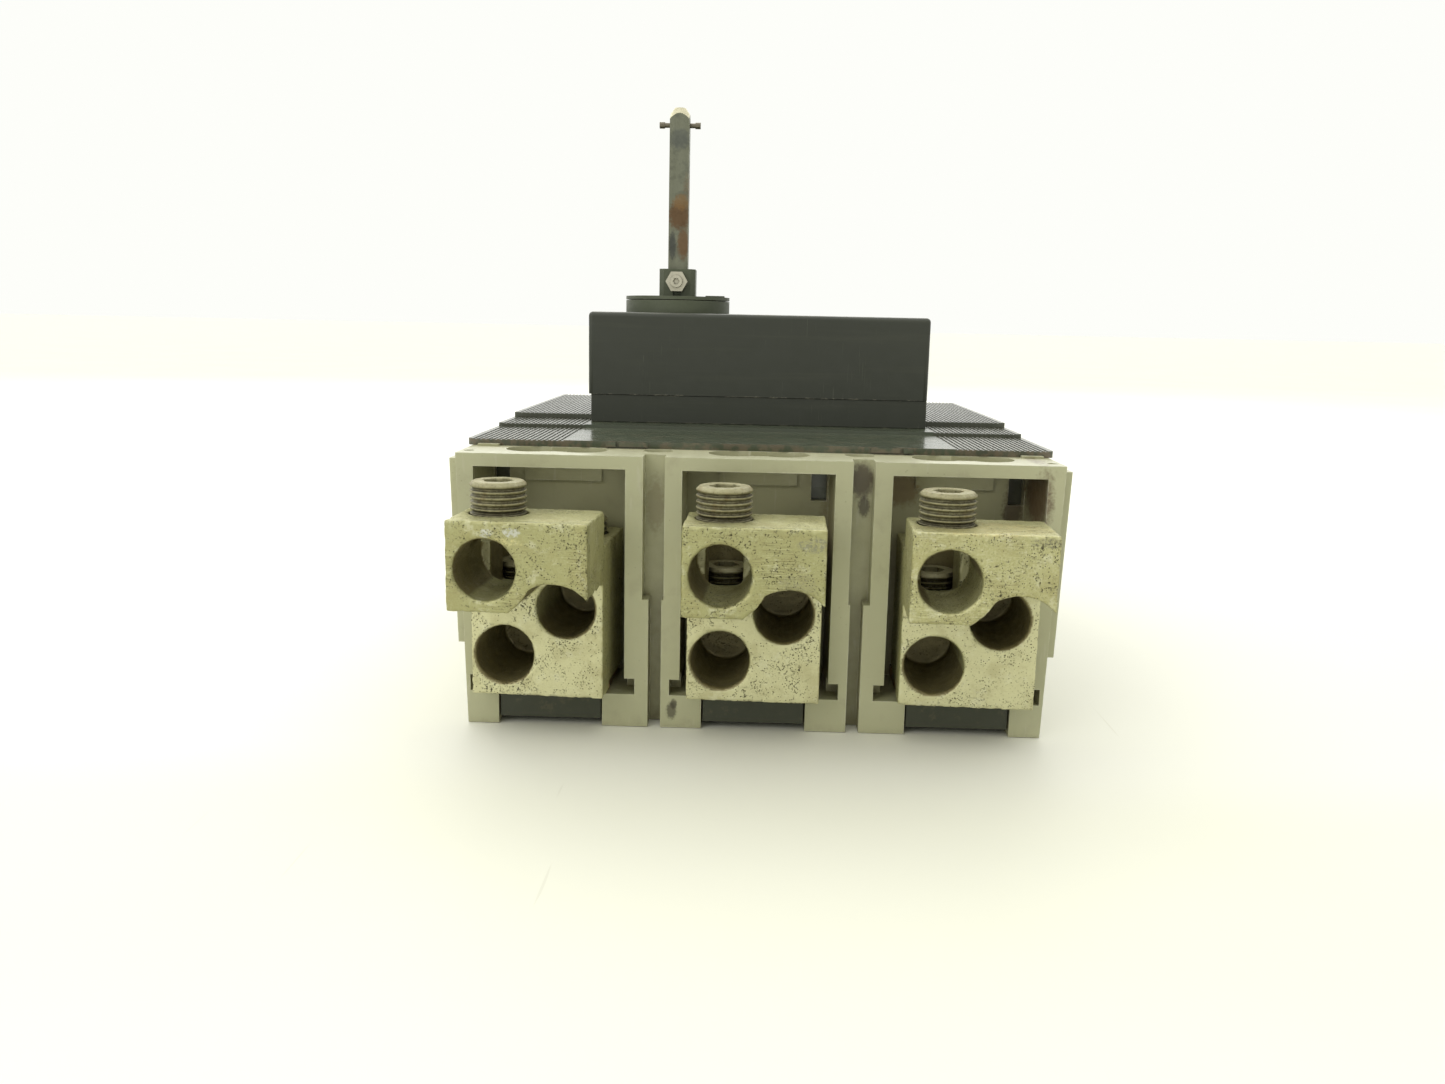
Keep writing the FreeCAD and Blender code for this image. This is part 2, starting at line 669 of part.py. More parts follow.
def load_terminal_screws():
    """Hexagon screws with washers through the load terminals, and their captive nuts."""
    screws = []
    nuts = []
    top = "recess_bottom + bar_thick"
    for phase in PHASES:
        spot = (phase_centre(phase), "117")
        washer = rod(f"load_washer_{phase + 1}", "z", "10", (top, f"{top} + 2"), spot)
        head = hexagon(f"load_screw_head_{phase + 1}", "z", "16", (f"{top} + 1.9", f"{top} + 8.3"), spot)
        shank = rod(f"load_screw_shank_{phase + 1}", "z", "5", ("4.8", f"{top} + 5"), spot)
        screws.append(join(f"load_screw_{phase + 1}", [washer, head, shank]))
        nut = hexagon(f"load_nut_body_{phase + 1}", "z", "16", ("5.2", "recess_bottom"), spot)
        bore = rod(f"load_nut_bore_{phase + 1}", "z", "5.02", ("4", "13"), spot)
        nuts.append(cut(f"load_nut_{phase + 1}", nut, [bore]))
    keep("load_terminal_nuts", separate("load_terminal_nuts", nuts))
    return keep("load_terminal_screws", separate("load_terminal_screws", screws))


def arc_chutes():
    """Stacks of notched steel plates between fibre side sheets, one stack per pole."""
    plates = []
    sheets = []
    for phase in PHASES:
        centre = phase_centre(phase)
        for k in range(CHUTE_PLATES):
            low = f"32 + {k} * 6.4"
            plate = block(f"chute_blank_{phase + 1}_{k}", (f"{centre} - 18", f"{centre} + 18"),
                          ("-92", "-62"), (low, f"{low} + 1.8"))
            notch = doc.addObject("Part::Wedge", f"chute_notch_{phase + 1}_{k}")
            notch.Placement = Placement(Vector(phase * size("phase_pitch"), -61, 31 + k * 6.4), Rotation())
            for prop, number in (("Xmin", -7), ("Xmax", 7), ("X2min", -7), ("X2max", 7), ("Ymin", -17),
                                 ("Ymax", 0), ("Zmin", 0), ("Zmax", 4), ("Z2min", 0), ("Z2max", 4)):
                setattr(notch, prop, number)
            plates.append(cut(f"chute_plate_{phase + 1}_{k}", plate, [notch]))
        for side in (-1, 1):
            edges = sorted((18, 20), key=lambda v: side * v)
            sheets.append(block(f"chute_sheet_{phase + 1}_{(side + 1) // 2}",
                                (f"{centre} + {side * edges[0]}", f"{centre} + {side * edges[1]}"),
                                ("-93", "-61"), ("29", "89")))
    keep("arc_chute_plates", separate("arc_chute_plates", plates))
    return keep("arc_chute_sides", separate("arc_chute_sides", sheets))


def fixed_contacts():
    pads = [block(f"fixed_pad_{p + 1}", (f"{phase_centre(p)} - 5", f"{phase_centre(p)} + 5"),
                  ("-54", "-44"), ("contact_bar_top", "contact_bar_top + 2")) for p in PHASES]
    return keep("fixed_contact_pads", separate("fixed_contact_pads", pads))


# ---------------------------------------------------------------- crossbar and contact arms

def crossbar():
    """The insulating bar that carries all three contact arms, with ears for the link pins."""
    spot = ("bar_y", "bar_z")
    solids = [rod("crossbar_core", "x", "10", ("-93", "93"), spot)]
    cuts = []
    for side in (-1, 1):
        neck = sorted((8.1, 12.4), key=lambda v: side * v)
        span = (str(side * neck[0]), str(side * neck[1]))
        ring = rod(f"crossbar_neck_outer_{(side + 1) // 2}", "x", "11", span, spot)
        keep_core = rod(f"crossbar_neck_inner_{(side + 1) // 2}", "x", "7", span, spot)
        cuts.append(cut(f"crossbar_neck_{(side + 1) // 2}", ring, [keep_core]))
    for phase in PHASES:
        centre = phase_centre(phase)
        cuts.append(block(f"crossbar_window_{phase + 1}", (f"{centre} - 4.1", f"{centre} + 4.1"),
                          ("bar_y - 12", "bar_y + 12"), ("bar_z - 6.1", "bar_z + 6.1")))
    ears = []
    for side in (-1, 1):
        faces = sorted((5.5, 8.0), key=lambda v: side * v)
        span = (str(side * faces[0]), str(side * faces[1]))
        tag = (side + 1) // 2
        ears.append(block(f"crossbar_ear_web_{tag}", span, ("bar_y - link_pin_reach", "bar_y - 5"),
                          ("bar_z - 4", "bar_z + 4")))
        ears.append(rod(f"crossbar_ear_eye_{tag}", "x", "4", span, ("bar_y - link_pin_reach", "bar_z")))
    holes = [rod("crossbar_pin_hole", "x", "1.5", ("-9", "9"), ("bar_y - link_pin_reach", "bar_z"))]
    core = cut("crossbar_cut", solids[0], cuts)
    bar = cut("crossbar_body", join("crossbar_joined", [core] + ears), holes)
    about_x(bar, -size("open_angle"), "bar_y", "bar_z")
    return keep("crossbar", bar)


def link_pins():
    """Two stub pins in the crossbar's ears that the lower links drive."""
    pins = []
    for side in (-1, 1):
        faces = sorted((5.5, 10.4), key=lambda v: side * v)
        pins.append(rod(f"link_pin_{(side + 1) // 2}", "x", "1.5",
                        (str(side * faces[0]), str(side * faces[1])),
                        ("bar_y - link_pin_reach", "bar_z")))
    group = separate("link_pins", pins)
    about_x(group, -size("open_angle"), "bar_y", "bar_z")
    return keep("link_pins", group)


def contact_arms():
    arms = []
    pads = []
    for phase in PHASES:
        centre = phase_centre(phase)
        arm = profile_bar(f"contact_arm_{phase + 1}",
                          [("bar_y - 62", "bar_z - 3"), ("bar_y - 59", "bar_z - 6"),
                           ("bar_y + 16", "bar_z - 6"),
                           ("bar_y + 16", "bar_z + 6"), ("bar_y - 40", "bar_z + 6"), ("bar_y - 62",
                                                                                      "bar_z + 1")],
                          "4", centre)
        arms.append(arm)
        pads.append(block(f"moving_pad_{phase + 1}", (f"{centre} - 4", f"{centre} + 4"),
                          ("bar_y - 59", "bar_y - 51"), ("bar_z - 8.4", "bar_z - 6")))
    arm_group = separate("contact_arms", arms)
    pad_group = separate("moving_contact_pads", pads)
    about_x(arm_group, -size("open_angle"), "bar_y", "bar_z")
    about_x(pad_group, -size("open_angle"), "bar_y", "bar_z")
    keep("moving_contact_pads", pad_group)
    return keep("contact_arms", arm_group)


def flexible_braids():
    """Woven copper straps from the load bars to the tails of the contact arms, at rest."""
    turn = math.radians(size("open_angle"))
    half_thick, half_wide, gap = 1.4, 3.6, 0.05
    away = Vector(0, math.cos(turn), -math.sin(turn))
    start = Vector(0, size("bar_y"), size("bar_z")) + away * (16 + gap)
    stop = Vector(0, 36 - gap, 20.5)
    upper = Part.BSplineCurve()
    lower = Part.BSplineCurve()
    lift = Vector(0, math.sin(turn), math.cos(turn)) * half_thick
    rise = Vector(0, 0, half_thick)
    upper.interpolate(Points=[start + lift, stop + rise], InitialTangent=away * 20,
                      FinalTangent=Vector(0, 20, 0))
    lower.interpolate(Points=[start - lift, stop - rise], InitialTangent=away * 20,
                      FinalTangent=Vector(0, 20, 0))
    side = Part.Wire([upper.toShape(), Part.makeLine(stop + rise, stop - rise),
                      lower.toShape(), Part.makeLine(start - lift, start + lift)])
    straps = []
    for phase in PHASES:
        strap = Part.Face(side).extrude(Vector(2 * half_wide, 0, 0))
        strap.translate(Vector(phase * size("phase_pitch") - half_wide, 0, 0))
        straps.append(strap)
    piece = doc.addObject("Part::Feature", "flexible_braids")
    piece.Shape = Part.makeCompound(straps)
    return keep("flexible_braids", piece)


# ---------------------------------------------------------------- switching mechanism

def plate_pair(name, points, inner, outer, holes=()):
    """Two equal plates at inner..outer on both sides of the middle pole, drilled along X."""
    plates = []
    for side in (-1, 1):
        body = new_body(f"{name}_{(side + 1) // 2}")
        centre = f"{side} * ({inner} + {outer}) / 2"
        face = sketch_on(body, f"{name}_face_{(side + 1) // 2}", "YZ_Plane", centre)
        outline(face, points)
        pad(body, face, f"{outer} - {inner}", middle=True)
        if holes:
            drill = sketch_on(body, f"{name}_holes_{(side + 1) // 2}", "YZ_Plane", centre)
            for y, z, radius in holes:
                circle(drill, y, z, radius)
            pocket(body, drill, f"{outer} - {inner} + 2", middle=True)
        plates.append(body)
    return plates


def mechanism_side_plates():
    points = [("-28", "22"), ("bar_y - 10.3", "22"), ("bar_y - 10.3", "bar_z"), ("bar_y + 10.3", "bar_z"),
              ("bar_y + 10.3", "22"), ("32", "22"), ("36", "60"), ("30", "84"), ("20", "88"), ("-24", "90"),
              ("-30", "84")]
    plates = plate_pair("side_plate", points, "16", "18",
                        [("cradle_y", "cradle_z", "2.5"), ("bar_y", "toggle_z", "2.5"),
                         ("bar_y", "bar_z", "10.3")])
    return keep("mechanism_side_plates", separate("mechanism_side_plates", plates))


def cradle():
    """The latched lever that anchors the upper links, held fixed by the trip latch."""
    points = [("cradle_y - 4", "cradle_z - 4"), ("cradle_y + 2", "cradle_z - 5"),
              ("anchor_y - 2", "anchor_z - 4"), ("anchor_y + 8", "anchor_z - 4"),
              ("33", "69.5"), ("33", "76"), ("anchor_y + 6", "anchor_z + 4"),
              ("anchor_y - 4", "anchor_z + 4"), ("cradle_y + 4.5", "cradle_z - 0.5"),
              ("cradle_y + 2", "cradle_z + 3.6"), ("cradle_y - 4", "cradle_z + 4")]
    plates = plate_pair("cradle_arm", points, "6", "8", [("cradle_y", "cradle_z", "2.52")])
    stubs = [rod(f"cradle_stub_{(s + 1) // 2}", "x", "2", tuple(str(v) for v in sorted((s * 7.5, s * 12.7))),
                 ("anchor_y", "anchor_z")) for s in (-1, 1)]
    bridge = block("cradle_nose", ("-6.5", "6.5"), ("28", "33"), ("70", "76"))
    return keep("cradle", join("cradle_body", plates + stubs + [bridge]))


def mechanism_pins():
    """The cradle's pivot pin and the two stub pins that carry the toggle yoke."""
    pins = [rod("cradle_pivot", "x", "2.48", ("-18.6", "18.6"), ("cradle_y", "cradle_z"))]
    for side in (-1, 1):
        faces = sorted((12.6, 18.6), key=lambda v: side * v)
        pins.append(rod(f"yoke_pivot_{(side + 1) // 2}", "x", "2.48",
                        (str(side * faces[0]), str(side * faces[1])),
                        ("bar_y", "toggle_z")))
    return keep("mechanism_pins", separate("mechanism_pins", pins))


def toggle_yoke():
    """The steel yoke that swings with the toggle and pulls the springs over centre."""
    points = [("bar_y - 4.6", "toggle_z - 2"), ("bar_y", "toggle_z - 5"), ("bar_y + 4.6", "toggle_z - 2"),
              ("bar_y + 5", "toggle_z + 36"), ("bar_y - 5", "toggle_z + 36")]
    legs = plate_pair("yoke_leg", points, "13", "15", [("bar_y", "toggle_z", "2.53")])
    bridge = block("yoke_bridge", ("-13.5", "13.5"), ("bar_y - 5", "bar_y + 5"),
                   ("toggle_z + 34", "toggle_z + 36"))
    yoke = join("yoke_body", legs + [bridge])
    about_x(yoke, -size("toggle_lean"), "bar_y", "toggle_z")
    return keep("toggle_yoke", yoke)


def toggle_handle():
    """The moulded toggle: a stem with a curved dust shield, seated on the yoke."""
    stem = block("toggle_stem", ("-5", "5"), ("bar_y - 4.5", "bar_y + 4.5"),
                 ("toggle_z + 36", "toggle_z + 58"))
    foot = block("toggle_foot", ("-12.6", "12.6"), ("bar_y - 5", "bar_y + 5"),
                 ("toggle_z + 36", "toggle_z + 38"))
    outer = rod("shield_outer", "x", "39.4", ("-12.6", "12.6"), ("bar_y", "toggle_z"))
    inner = rod("shield_inner", "x", "37", ("-14", "14"), ("bar_y", "toggle_z"))
    ring = cut("shield_ring", outer, [inner])
    sector = block("shield_sector", ("-13", "13"), ("bar_y - 13.5", "bar_y + 13.5"),
                   ("toggle_z + 30", "toggle_z + 40"))
    shield = doc.addObject("Part::Common", "shield")
    shield.Base = ring
    shield.Tool = sector
    handle = join("toggle_handle_body", [stem, foot, shield])
    about_x(handle, -size("toggle_lean"), "bar_y", "toggle_z")
    return keep("toggle_handle", handle)


def mechanism_points():
    """Where the knee, link pin and spring anchor stand with the contacts open."""
    turn = math.radians(size("open_angle"))
    bar = Vector(0, size("bar_y"), size("bar_z"))
    pin = bar + Vector(0, -math.cos(turn), math.sin(turn)) * size("link_pin_reach")
    anchor = Vector(0, size("anchor_y"), size("anchor_z"))
    line = pin - anchor
    upper, lower = size("upper_link"), size("lower_link")
    along = (upper ** 2 - lower ** 2 + line.Length ** 2) / (2 * line.Length)
    across = math.sqrt(upper ** 2 - along ** 2)
    unit = line / line.Length
    knee = anchor + unit * along + Vector(0, -unit.z, unit.y) * across
    lean = math.radians(size("toggle_lean"))
    hook = Vector(0, size("bar_y") + 31 * math.sin(lean), size("toggle_z") + 31 * math.cos(lean))
    return anchor, knee, pin, hook


def link(name, start, stop, inner, outer, eye, far_hole, far_shift=Vector(0, 0, 0)):
    """A flat link between two pins, one on each side of the middle pole."""
    angle = math.degrees(math.atan2(stop.z - start.z, stop.y - start.y))
    length = (stop - start).Length
    links = []
    for side in (-1, 1):
        low, high = sorted((side * inner, side * outer))
        web = Part.makeBox(high - low, length, 2 * (eye - 0.6), Vector(low, 0, -(eye - 0.6)))
        far_eye = far_hole + 2.2
        ends = [Part.makeCylinder(eye, high - low, Vector(low, 0, 0), Vector(1, 0, 0)),
                Part.makeCylinder(far_eye, high - low, Vector(low, length, 0) + far_shift, Vector(1, 0, 0))]
        holes = [Part.makeCylinder(2.05 if far_hole < 2 else 1.53, 9, Vector(low - 2, 0, 0),
                                   Vector(1, 0, 0)),
                 Part.makeCylinder(far_hole, 9, Vector(low - 2, length, 0) + far_shift, Vector(1, 0, 0))]
        links.append(web.multiFuse(ends).cut(holes[0]).cut(holes[1]).removeSplitter())
    piece = doc.addObject("Part::Feature", name)
    piece.Shape = Part.makeCompound(links)
    piece.Placement = Placement(start, Rotation(Vector(1, 0, 0), angle))
    return keep(name, piece)


def links():
    anchor, knee, pin, hook = mechanism_points()
    link("upper_links", anchor, knee, 10.5, 12.3, 3.8, 1.5)
    link("lower_links", knee, pin, 8.3, 10.1, 3.6, 3.1, Vector(0, -0.92, -0.84))
    knee_pin = rod("knee_pin_body", "x", "1.5", ("-12.6", "12.6"), (str(knee.y), str(knee.z)))
    keep("knee_pin", knee_pin)
    hook_pin = rod("spring_anchor_body", "x", "1.5", ("-12.9", "12.9"), (str(hook.y), str(hook.z)))
    keep("spring_anchor_pin", hook_pin)
    springs = []
    for x in (-3.1, 3.1):
        axis = hook - knee
        gap = 2.6
        length = axis.Length - 2 * gap
        coil = Part.makeHelix(1.55, length, 2.1)
        profile = Part.Wire([Part.Circle(Vector(2.1, 0, 0), Vector(0, 1, 0), 0.5).toShape()])
        wire = Part.Wire(coil).makePipeShell([profile], True, True)
        turn = Rotation(Vector(0, 0, 1), axis)
        wire.Placement = Placement(Vector(x, knee.y, knee.z) + axis / axis.Length * gap, turn)
        springs.append(wire)
    piece = doc.addObject("Part::Feature", "main_springs")
    piece.Shape = Part.makeCompound(springs)
    return keep("main_springs", piece)


# ---------------------------------------------------------------- trip system

def trip_bar():
    """The bar that every pole's tripping device and the test button can turn."""
    spine = rod("trip_bar_spine", "x", "3", ("-88", "88"), ("trip_y", "trip_z"))
    latch_arm = block("trip_latch_arm", ("-5", "5"), ("trip_y - 3", "trip_y + 1"), ("trip_z", "79.6"))
    nose = block("trip_latch_nose", ("-5", "5"), ("31.6", "trip_y - 2"), ("76.3", "79.6"))
    lever = block("trip_lever", ("trip_rod_x - 4", "trip_rod_x + 4"), ("trip_y", "trip_rod_y + 3"),
                  ("trip_z - 2", "trip_z + 2"))
    paddles = [block(f"trip_paddle_{p + 1}", (f"{phase_centre(p)} - 14", f"{phase_centre(p)} - 9"),
                     ("trip_y - 1.5", "trip_y + 1.5"), ("trip_z", "74")) for p in PHASES]
    return keep("trip_bar", join("trip_bar_body", [spine, latch_arm, nose, lever] + paddles))


def trip_bar_brackets():
    """Two brackets on the case floor that carry the trip bar."""
    brackets = []
    for side in (-1, 1):
        x = (f"{side} * 28 - 1.5", f"{side} * 28 + 1.5")
        post = block(f"trip_post_{(side + 1) // 2}", x, ("trip_y - 6", "trip_y + 6"), ("18", "trip_z + 6"))
        eye = rod(f"trip_eye_{(side + 1) // 2}", "x", "3.05", (f"{side} * 28 - 3", f"{side} * 28 + 3"),
                  ("trip_y", "trip_z"))
        foot = block(f"trip_foot_{(side + 1) // 2}", (f"{side} * 28 - 4", f"{side} * 28 + 4"),
                     ("trip_y - 6", "trip_y + 6"), ("case_floor", "19"))
        brackets.append(cut(f"trip_bracket_{(side + 1) // 2}", join(f"trip_bracket_body_{(side + 1) // 2}",
                                                                  [post, foot]), [eye]))
    return keep("trip_bar_brackets", separate("trip_bar_brackets", brackets))


def trip_unit_case():
    shell = block("trip_case_outer", ("-95.4", "95.4"), ("62", "94.6"), ("17", "88"))
    tools = []
    for phase in PHASES:
        centre = phase_centre(phase)
        half = 20.5 if phase else 27
        tools.append(block(f"trip_case_cell_{phase + 1}", (f"{centre} - {half}", f"{centre} + {half}"),
                           ("60", "92"), ("19.5", "85.5")))
    return keep("trip_unit_case", cut("trip_case_body", shell, tools))


def tripping_devices():
    """One bimetal strip and one magnet yoke per pole, standing in the trip unit case."""
    strips = []
    yokes = []
    for phase in PHASES:
        centre = phase_centre(phase)
        strips.append(block(f"bimetal_{phase + 1}", (f"{centre} - 14", f"{centre} - 6"), ("66", "67.2"),
                            ("19.5", "76")))
        outer = block(f"magnet_outer_{phase + 1}", (f"{centre} + 0", f"{centre} + 16"), ("68", "84"),
                      ("19.5", "52"))
        inner = block(f"magnet_inner_{phase + 1}", (f"{centre} + 4", f"{centre} + 12"), ("66", "80"),
                      ("19", "53"))
        yokes.append(cut(f"magnet_{phase + 1}", outer, [inner]))
    keep("bimetal_strips", separate("bimetal_strips", strips))
    return keep("trip_magnets", separate("trip_magnets", yokes))


def trip_push_rod():
    """The test button on the operator box and the rod that presses the trip bar's lever."""
    spot = ("trip_rod_x", "trip_rod_y")
    head = rod("trip_button_head", "z", "4.5", ("box_top - 4.6", "box_top + 0.5"), spot)
    stem = rod("trip_rod_stem", "z", "3", ("trip_z + 9", "box_top - 4"), spot)
    tip = rod("trip_rod_tip", "z", "2", ("trip_z + 3.6", "trip_z + 10"), spot)
    return keep("trip_push_rod", join("trip_push_rod_body", [head, stem, tip]))


# ---------------------------------------------------------------- rotary operator

def operator_base():
    x_low, x_high = "box_shift - box_half_width + 1.1", "box_shift + box_half_width - 0.2"
    body = new_body("operator_base")
    floor = sketch_on(body, "operator_floor", "XY_Plane", "cover_mid_top + 0.02")
    rectangle(floor, x_low, x_high, "box_front + 0.5", "box_back - 0.5")
    pad(body, floor, "box_seam - cover_mid_top - 0.02")
    well = sketch_on(body, "operator_well", "XY_Plane", "box_seam + 1")
    rectangle(well, f"{x_low} + box_wall", f"{x_high} - box_wall", "box_front + 0.5 + box_wall",
              "box_back - 0.5 - box_wall")
    pocket(body, well, "box_seam + 1 - 102")
    openings = sketch_on(body, "operator_openings", "XY_Plane", "103")
    rectangle(openings, "-8.2", "8.2", "-19.5", "31.5")
    circle(openings, "trip_rod_x", "trip_rod_y", "3.4")
    for side in (-1, 1):
        for y in OPERATOR_SCREW_Y:
            circle(openings, f"{side} * 58 + box_shift", y, "2.1")
    pocket(body, openings, "6")
    return keep("operator_base", body)


def operator_screws():
    """Cheese-head screws that hold the operator's base to the breaker's front cover."""
    screws = []
    for side in (-1, 1):
        for y in OPERATOR_SCREW_Y:
            tag = f"{(side + 1) // 2}_{0 if y < 0 else 1}"
            spot = (f"{side} * 58 + box_shift", y)
            head = rod("operator_screw_head_" + tag, "z", "3", ("102", "105"), spot)
            shank = rod("operator_screw_shank_" + tag, "z", "1.58", ("95.4", "103"), spot)
            screws.append(join("operator_screw_" + tag, [head, shank]))
    return keep("operator_screws", separate("operator_screws", screws))


def operator_cover():
    body = new_body("operator_cover")
    x_low, x_high = "box_shift - box_half_width", "box_shift + box_half_width"
    shell = sketch_on(body, "operator_shell", "XY_Plane", "box_seam + 0.05")
    rectangle(shell, x_low, x_high, "box_front", "box_back")
    pad(body, shell, "box_top - box_seam - 0.05")
    round_edges(body, "operator_rounds", is_box_top_edge, 1.8)
    hollow = sketch_on(body, "operator_hollow", "XY_Plane", "box_seam")
    rectangle(hollow, f"{x_low} + box_wall", f"{x_high} - box_wall", "box_front + box_wall",
              "box_back - box_wall")
    pocket(body, hollow, "box_top - 3 - box_seam", flip=True)
    posts = sketch_on(body, "operator_posts", "XY_Plane", "box_seam + 0.05")
    screw_holes = sketch_on(body, "operator_post_holes", "XY_Plane", "box_top + 1")
    screw_heads = sketch_on(body, "operator_head_wells", "XY_Plane", "box_top + 1")
    for x in ("box_shift - 62", "box_shift + 62"):
        for y in ("-33.5", "57"):
            circle(posts, x, y, "4.2")
            circle(screw_holes, x, y, "1.7")
            circle(screw_heads, x, y, "3.3")
    pad(body, posts, "box_top - 2 - box_seam")
    pocket(body, screw_holes, "24")
    pocket(body, screw_heads, "4")
    openings = sketch_on(body, "operator_top_openings", "XY_Plane", "box_top + 1")
    circle(openings, "hub_x", "hub_y", "spindle_radius + 0.05")
    circle(openings, "trip_rod_x", "trip_rod_y", "4.6")
    pocket(body, openings, "5")
    window = sketch_on(body, "operator_label_recess", "XY_Plane", "box_top + 1")
    rectangle(window, "6", "58", "-30", "8")
    pocket(body, window, "1.6")
    return keep("operator_cover", body)


def is_box_top_edge(edge):
    """True for the outer edges at the top of the operator box and its upright corners."""
    box = edge.BoundBox
    at_top = box.ZMin > size("box_top") - 0.01
    upright = box.ZLength > 10 and box.XLength < 0.01 and box.YLength < 0.01
    return at_top or upright


def operator_cover_screws():
    screws = []
    for i, x in enumerate(("box_shift - 62", "box_shift + 62")):
        for j, y in enumerate(("-33.5", "57")):
            head = rod(f"box_screw_head_{i}{j}", "z", "3.1", ("box_top - 3", "box_top - 0.8"), (x, y))
            shank = rod(f"box_screw_shank_{i}{j}", "z", "1.68", ("box_top - 22", "box_top - 2"), (x, y))
            slot = block(f"box_screw_slot_{i}{j}", (f"{x} - 4", f"{x} + 4"), (f"{y} - 0.45", f"{y} + 0.45"),
                         ("box_top - 1.8", "box_top"))
            cross = block(f"box_screw_cross_{i}{j}", (f"{x} - 0.45", f"{x} + 0.45"),
                          (f"{y} - 4", f"{y} + 4"),
                          ("box_top - 1.8", "box_top"))
            screws.append(cut(f"box_screw_{i}{j}", join(f"box_screw_body_{i}{j}", [head, shank]),
                              [slot, cross]))
    return keep("operator_cover_screws", separate("operator_cover_screws", screws))


def carriage_guides():
    """Angle-section rails that guide the drive carriage along the box."""
    rails = []
    for tag, wall, lip in (("left", ("-66.6", "-63.9"), ("-66.6", "-61.6")),
                           ("right", ("14.1", "17.1"), ("11.8", "17.1"))):
        web = block(f"guide_web_{tag}", wall, ("-34", "56"), ("102", "108"))
        flange = block(f"guide_flange_{tag}", lip, ("-24", "50"), ("106.4", "108"))
        rails.append(join(f"guide_{tag}", [web, flange]))
    return keep("carriage_guides", separate("carriage_guides", rails))


def drive_carriage():
    """The sliding plate: a cross slot for the crank pin and a window for the toggle."""
    swing = size("crank_radius") * math.sin(math.radians(45))
    slot_y = size("hub_y") + swing
    toggle_y = size("bar_y") + swing
    body = new_body("drive_carriage")
    face = sketch_on(body, "carriage_plate", "XY_Plane", "103.2")
    outline(face, [("-63.8", "-2"), ("-8", "-2"), ("-8", "8"), ("14", "8"), ("14", "30"), ("-63.8", "30")])
    pad(body, face, "3")
    holes = sketch_on(body, "carriage_openings", "XY_Plane", "107")
    rectangle(holes, "hub_x + 10.2", "hub_x + crank_radius + 3.8", f"{slot_y} - 3.75", f"{slot_y} + 3.75")
    rectangle(holes, "-5.4", "5.4", f"{toggle_y} - 6.2", f"{toggle_y} + 6.2")
    rectangle(holes, "-58", "-30", "10", "24")
    pocket(body, holes, "6")
    return keep("drive_carriage", body)


def rotor():
    """The operator's turning hub: thin cap on the collar, spindle and inner flange."""
    cap = rod("rotor_cap", "z", "hub_radius", ("collar_top + 0.35", "cap_top"), ("hub_x", "hub_y"))
    spindle = rod("rotor_spindle", "z", "spindle_radius", ("110", "collar_top + 1"), ("hub_x", "hub_y"))
    flange = rod("rotor_flange", "z", "13", ("137.5", "box_top - 3.2"), ("hub_x", "hub_y"))
    index_tab = block("rotor_index_tab", ("hub_x + 12", "hub_x + 20"), ("hub_y - 4", "hub_y + 4"),
                      ("collar_top + 0.35", "cap_top + 0.7"))
    socket = block("rotor_socket", ("hub_x - shaft_width / 2 - 0.05", "hub_x + shaft_width / 2 + 0.05"),
                   ("hub_y - shaft_width / 2 - 0.05", "hub_y + shaft_width / 2 + 0.05"),
                   ("138", "cap_top + 1"))
    spigot = block("rotor_spigot", ("hub_x - 5", "hub_x + 5"), ("hub_y - 5", "hub_y + 5"), ("107", "111"))
    solid = join("rotor_solid", [cap, spindle, flange, index_tab, spigot])
    return keep("operator_rotor", cut("rotor_body", solid, [socket]))


def operator_collar():
    ring = rod("collar_outer", "z", "hub_radius", ("box_top", "collar_top"), ("hub_x", "hub_y"))
    bore = rod("collar_bore", "z", "spindle_radius + 0.05", ("box_top - 1", "collar_top + 1"),
               ("hub_x", "hub_y"))
    return keep("operator_collar", cut("collar_body", ring, [bore]))


def crank():
    """The crank disc on the spindle's square end, and the pin that drives the carriage."""
    swing = size("crank_radius") * math.sin(math.radians(45))
    spot = (f"hub_x + {swing}", f"hub_y + {swing}")
    disc = rod("crank_disc_blank", "z", "24", ("107", "110"), ("hub_x", "hub_y"))
    square = block("crank_square", ("hub_x - 5", "hub_x + 5"), ("hub_y - 5", "hub_y + 5"), ("106", "111"))
    hole = rod("crank_pin_hole", "z", "3", ("106", "111"), spot)
    keep("crank_disc", cut("crank_disc_body", disc, [square, hole]))
    pin = rod("crank_pin_body", "z", "3", ("102.6", "110"), spot)
    return keep("crank_pin", pin)


